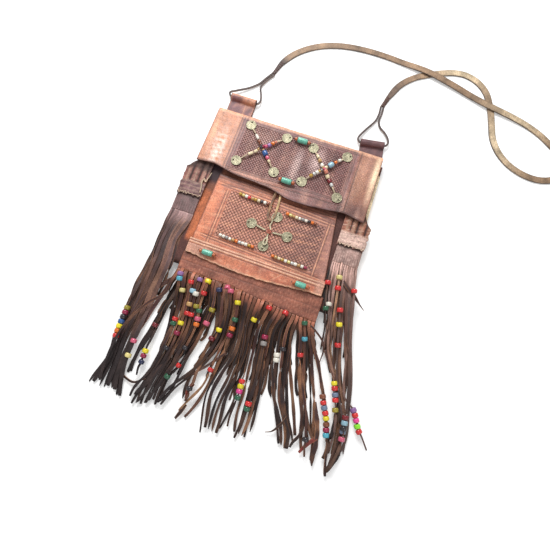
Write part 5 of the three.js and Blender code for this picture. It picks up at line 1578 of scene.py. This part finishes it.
# The flap's bead strings: the two coins that each joins, and its beads as place, radius, length and tint
CROSSINGS = [
    ((0, 3), [(24, 2.1, 8, "white"), (32, 2.4, 4.4, "brown"), (52, 3.8, 8, "blue"), (60, 2.6, 5, "pink"),
              (65.5, 2.2, 4, "cream")]),
    ((1, 2), [(23, 2.2, 8, "cream"), (31.5, 2.2, 6, "cream"), (49.5, 2.6, 4.5, "pink"),
              (55.5, 3, 5, "purple"), (61.5, 2.6, 4.5, "orange")]),
    ((6, 5), [(16, 2.6, 4.6, "gold"), (21, 2.4, 4, "clear"), (26, 2.6, 4.6, "white"), (41, 2.4, 4, "cream"),
              (49, 3.8, 8, "paleblue"), (57, 2.2, 4, "orange"), (64, 2.2, 5, "white")]),
    ((4, 7), [(16, 2.2, 6, "cream"), (23, 2.6, 5, "tan"), (31, 2.6, 5, "white"), (45, 2.8, 6, "salmon"),
              (52.5, 3, 6, "cream"), (60, 3, 6, "darkred"), (66.5, 2.4, 5, "clear")]),
]
SMALL = [
    ("brown", "dark", "darkred", "tan"), ("tan", "dark", "magenta", "salmon"),
    ("gold", "grey", "tan", "brown"), ("tan", "pink", "cream", "brown"),
]
STRING_REACH = COIN_RADIUS + 2 * TOUCH


def string_of(skins, points, beads, count=60, start=0.0, space=BEAD_SPACE, stem=0.0, small=()):
    """A twisted thread with its beads. skins are those of the thread and of the beads, stem is the length of
    the thick twist at both ends, and small names the little beads that fill the gaps."""
    cords, glass = skins
    path = spaced(np.array(points, float), count)
    whole = line_length(path)
    run = np.linspace(0, 1, count)
    _, across, up = frames(path)
    ends = 1 - ease((np.minimum(run, 1 - run) * whole - stem) / 2) if stem else 0 * run
    stout = mix(0.34, 0.62, ends)[:, None]
    tint = mix(CREAM * 0.45, CREAM * 0.95, ends[:, None])
    for phase in (0, math.pi):
        turn = run * whole * 1.3 + phase
        twisted = path + stout * (across * np.cos(turn)[:, None] + up * np.sin(turn)[:, None])
        ribbon(cords, twisted, mix(0.8, 1.5, ends), mix(0.7, 1.2, ends), tint, tint * 0.45)

    def thread_on(at, radius, length, name):
        back, middle, ahead = (interpolated(path, run, np.clip(at + k, 0, whole) / whole) for k in (-2, 0, 2))
        bead(glass, middle, ahead - back, radius, length, BEADS[name], hole=0.25, sides=16)

    taken = []
    for at, radius, length, name in sorted(beads):
        where = max(at - start, (taken[-1][1] if taken else 0) + length / 2 + space)
        if where + length / 2 + space > whole:
            continue
        taken.append((where - length / 2, where + length / 2))
        thread_on(where, radius, length, name)
    if not small:
        return
    number = 0
    for (_, low), (high, _) in zip(taken, taken[1:] + [(whole - stem, whole)]):
        room = int((high - low) / 3.3)
        for k in range(room):
            thread_on(low + (k + 0.5) * (high - low) / room, 2.0, 3.0, small[number % len(small)])
            number += 1


def finish_string(name, cords, glass, body=BAG):
    cords.make(f"{name}_thread", [strap_grain], body=body, slot="strap_leather")
    glass.make(f"{name}_beads", [bead_glass], body=body, replaces=[name], slot="glass_beads")


def make_flap_strings():
    for index, (coins, beads) in enumerate(CROSSINGS):
        (ax, ad, _), (bx, bd, _) = (FLAP_COINS[c] for c in coins)
        level = max(radius for _, radius, _, _ in beads) + 2 * TOUCH
        middle = 0 if index in (0, 2) else 4.6
        span = math.hypot(bx - ax, bd - ad)
        inner = [span * share for share in (0.2, 0.4, 0.5, 0.6, 0.8)]
        stops = [STRING_REACH, *inner, span - STRING_REACH]
        rises = [1, level, level, level + middle, level, level, 1]
        points = []
        for stop, rise in zip(stops, rises):
            x, y = mix(ax, bx, stop / span), TOP - mix(ad, bd, stop / span)
            points.append((x, y, float(flap_height(x, y)) + FLAP_THICK + TOUCH + rise))
        cords, glass = Skin(), Skin()
        string_of((cords, glass), spline(points, 80), beads, 80, STRING_REACH, 0.15, 8, SMALL[index])
        finish_string(f"flap_string_{index + 1}", cords, glass, FLAP)


# Rows of small beads, as left end, share of the body's length up from the coins' middle, length and tints
BEAD_ROWS = [
    (-58, 0.17, 46, "gold paleyellow white red tan gold cream dark white brown"),
    (14, 0.142, 46, "orange paleyellow tan cream white grey white dark orange brown"),
    (-64, -0.114, 52, "white white grey white tan orange clear white white gold orange"),
    (14, -0.134, 52, "orange tan cream gold white paleyellow clear white tan white magenta"),
]


def make_rows():
    for index, (left, share, length, names) in enumerate(BEAD_ROWS):
        x, y = FRONT_MIDDLE + (left, share * BODY_LENGTH)
        level = ON_FRONT + 2.3
        names = names.split()
        step = length / len(names)
        chance = np.random.default_rng(index)
        beads = [
            ((b + 0.5) * step, chance.uniform(2.0, 2.5), step * chance.uniform(0.84, 0.97), tint)
            for b, tint in enumerate(names)
        ]
        cords, glass = Skin(), Skin()
        line = spline([(x, y, level), (x + length / 3, y - 1.2, level), (x + length, y - 1.5, level)], 40)
        string_of((cords, glass), line, beads, space=0.05)
        finish_string(f"bead_row_{index + 1}", cords, glass)


STONE_RADIUS, STONE_LENGTH, END_BEAD = 4.0, 14.5, 4.2


def make_stone(name, x, y, under, body):
    """A long stone with a bead at each end, on a thread."""
    radius, length, small = STONE_RADIUS, STONE_LENGTH, END_BEAD
    z = under + TOUCH + radius
    stones, ends, cords = Skin(), Skin(), Skin()
    half = length / 2
    profile = mirrored([
        (-half * 0.97, 1.0), (-half, 1.6), (-half, radius * 0.78), (-half * 0.92, radius * 0.94),
        (-half * 0.4, radius),
    ])
    lathe(stones, (x, y, z), (1, 0, 0), spaced(profile, 26), colour(112, 190, 166), 24)
    for side in (-1, 1):
        middle = (x + side * (half + small / 2 + 0.2), y, z)
        bead(ends, middle, (1, 0, 0), 2.3, small, colour(184, 98, 58), hole=0.3)
    reach = half + 1.5 * small
    path = spaced(np.array([(x - reach, y, z), (x + reach, y, z)]), 12)
    ribbon(cords, path, 1.0, 1.0, DARK, DARK)
    stones.make(f"{name}_body", [turquoise], body=body, replaces=[name], slot="turquoise")
    ends.make(f"{name}_ends", [bead_glass], body=body, slot="glass_beads")
    cords.make(f"{name}_thread", [strap_grain], body=body, slot="strap_leather")


PALE_TIE = colour(212, 200, 166)
THONG_RISE, TIE_RISE, KNOT_RISE = 1.2, 1.2, 1.7


def make_closing_thong():
    """The loop that hangs from the flap over the front's uppermost coin."""
    z = ON_FRONT + COIN_THICK + TOUCH + THONG_RISE
    loop = [(-9, 62), (-10, 44), (-10, 32), (-8.5, 20), (-4, 16), (-0.5, 21), (0, 34), (-1, 48), (-2.5, 62)]
    run = np.linspace(0, 1, 90)
    path = spline([(*(FRONT_MIDDLE + p), z) for p in loop], len(run))
    skin = Skin()
    tint = paint(
        colour(104, 70, 56),
        (0.5 + 0.5 * np.sin(run * 26), colour(150, 108, 78)),
        (ease((run - 0.6) / 0.1), colour(206, 172, 124)),
    )
    ribbon(skin, path, 2.9, 1.9, tint, colour(214, 186, 146), 0.4 * np.sin(run * 15))
    skin.make(
        "closing_thong_leather", [strap_grain], body=FLAP, replaces=["closing_thong"], slot="strap_leather"
    )


def make_stems():
    """Twisted ties from the knot to the coins at its left and right."""
    stems = [((-27 + STRING_REACH, 3), (-5.5, 0.5)), ((26 - STRING_REACH, 1), (5.5, 0))]
    turn = np.linspace(0, 22, 30)
    for index, ends in enumerate(stems):
        skin = Skin()
        path = spaced([(*(FRONT_MIDDLE + end), ON_FRONT + TIE_RISE) for end in ends], len(turn))
        for phase in (0, math.pi):
            offset = np.column_stack([0 * turn, 0.55 * np.cos(turn + phase), 0.4 * np.sin(turn + phase)])
            ribbon(skin, path + offset, np.linspace(1.9, 1.2, 30), 1.1, PALE_TIE, PALE_TIE * 0.4)
        name = f"coin_stem_{index + 1}"
        skin.make(f"{name}_twist", [strap_grain], replaces=[name], slot="strap_leather")


def make_hooks():
    """Pale ties that hold the upper and lower coins to the knot."""
    hooks = [
        [(-3.5, 21, 3.0), (-1, 18, 3.0), (-0.5, 14, 2.2), (-1.5, 9, 1.4), (0.5, 5, 1.4), (1.5, 2.5, 1.6)],
        [(0, -3, 1.4), (-0.4, -9, 1.4), (-2.4, -13.5, 2.6), (-2.2, -18.5, 2.6), (0, -20.5, 2.6),
         (2, -18, 2.6), (1.7, -13, 2.6), (0.4, -8, 2.0)],
    ]
    for index, hook in enumerate(hooks):
        skin = Skin()
        path = spline([(*(FRONT_MIDDLE + p[:2]), ON_FRONT + p[2]) for p in np.array(hook)], 50)
        ribbon(skin, path, 1.9, 1.0, PALE_TIE, PALE_TIE * 0.4)
        skin.make(f"coin_hook_{index + 1}", [strap_grain], slot="strap_leather")


def make_knot():
    """Three crossed loops in the middle of the front's coins."""
    knot = Skin()
    for turn in (0.3, 1.35, 2.5):
        angle = np.linspace(0, math.tau, 26)
        flat = np.column_stack([2.5 * np.cos(angle), 1.5 * np.sin(angle), 0.5 * np.sin(angle * 2)])
        cos, sin = math.cos(turn), math.sin(turn)
        spun = flat @ np.array([(cos, sin, 0), (-sin, cos, 0), (0, 0, 1)])
        path = spun + np.array((*FRONT_MIDDLE, ON_FRONT + KNOT_RISE))
        ribbon(knot, path, 1.7, 1.4, colour(150, 74, 56), colour(186, 108, 78))
    knot.make("front_knot_tied", [front_grain], replaces=["front_knot"], slot="front_leather")


make_flap_strings()
make_rows()
for index, (x, down) in enumerate([(5, 10), (3, 77)]):
    under = float(flap_height(x, TOP - down - 4)) + FLAP_THICK
    make_stone(f"flap_stone_{index + 1}", x, TOP - down, under, FLAP)
for index, (x, up) in enumerate([(-66, 23), (68, 22)]):
    make_stone(f"band_stone_{index + 1}", x, BOTTOM + up, ON_FRONT + BAND_THICK, BAG)
make_closing_thong()
make_stems()
make_hooks()
make_knot()


# Floor and light
FLOOR_HALF = 4
# Lamps, as name, place, size and power
LAMPS = [("window", (-0.35, 0.75, 0.95), 0.6, 16.0), ("fill", (0.9, -0.7, 1.2), 1.0, 4.0)]
AIM = Vector((0.02, -0.06, 0))


def make_floor():
    """A white floor that glows a little, so that it looks as bright as the photograph's."""
    mesh = bpy.data.meshes.new("floor")
    corners = [(x * FLOOR_HALF, y * FLOOR_HALF, 0) for x, y in ((-1, -1), (1, -1), (1, 1), (-1, 1))]
    mesh.from_pydata(corners, [], [(0, 1, 2, 3)])
    floor = bpy.data.objects.new("floor", mesh)
    bpy.context.scene.collection.objects.link(floor)
    material = bpy.data.materials.new("floor")
    material.use_nodes = True
    tree = material.node_tree
    shader = tree.nodes["Principled BSDF"]
    shader.inputs["Base Color"].default_value = (0.9, 0.9, 0.9, 1)
    shader.inputs["Roughness"].default_value = 0.9
    shader.inputs["Specular IOR Level"].default_value = 0.0
    rays = tree.nodes.new("ShaderNodeLightPath")
    seen = math_node(tree, "MAXIMUM", rays.outputs["Is Camera Ray"], rays.outputs["Is Glossy Ray"])
    glow = node(tree, "ShaderNodeEmission", Strength=math_node(tree, "MULTIPLY", seen, 0.24))
    both = tree.nodes.new("ShaderNodeAddShader")
    tree.links.new(shader.outputs["BSDF"], both.inputs[0])
    tree.links.new(glow.outputs["Emission"], both.inputs[1])
    tree.links.new(both.outputs["Shader"], tree.nodes["Material Output"].inputs["Surface"])
    mesh.materials.append(material)


def make_light():
    world = bpy.data.worlds.new("room")
    bpy.context.scene.world = world
    world.use_nodes = True
    tree = world.node_tree
    background = tree.nodes["Background"]
    rays = tree.nodes.new("ShaderNodeLightPath")
    seen = rays.outputs["Is Camera Ray"]
    strength = node(tree, "ShaderNodeMapRange", To_Min=0.5, To_Max=1.0, Value=seen)
    background.inputs["Color"].default_value = (1, 1, 1, 1)
    tree.links.new(strength.outputs["Result"], background.inputs["Strength"])
    for name, place, size, power in LAMPS:
        lamp = bpy.data.lights.new(name, "AREA")
        lamp.size = size
        lamp.energy = power
        obj = bpy.data.objects.new(name, lamp)
        obj.location = place
        obj.rotation_euler = (AIM - Vector(place)).to_track_quat("-Z", "Y").to_euler()
        bpy.context.scene.collection.objects.link(obj)


make_floor()
make_light()
bpy.context.scene.view_settings.view_transform = "Standard"
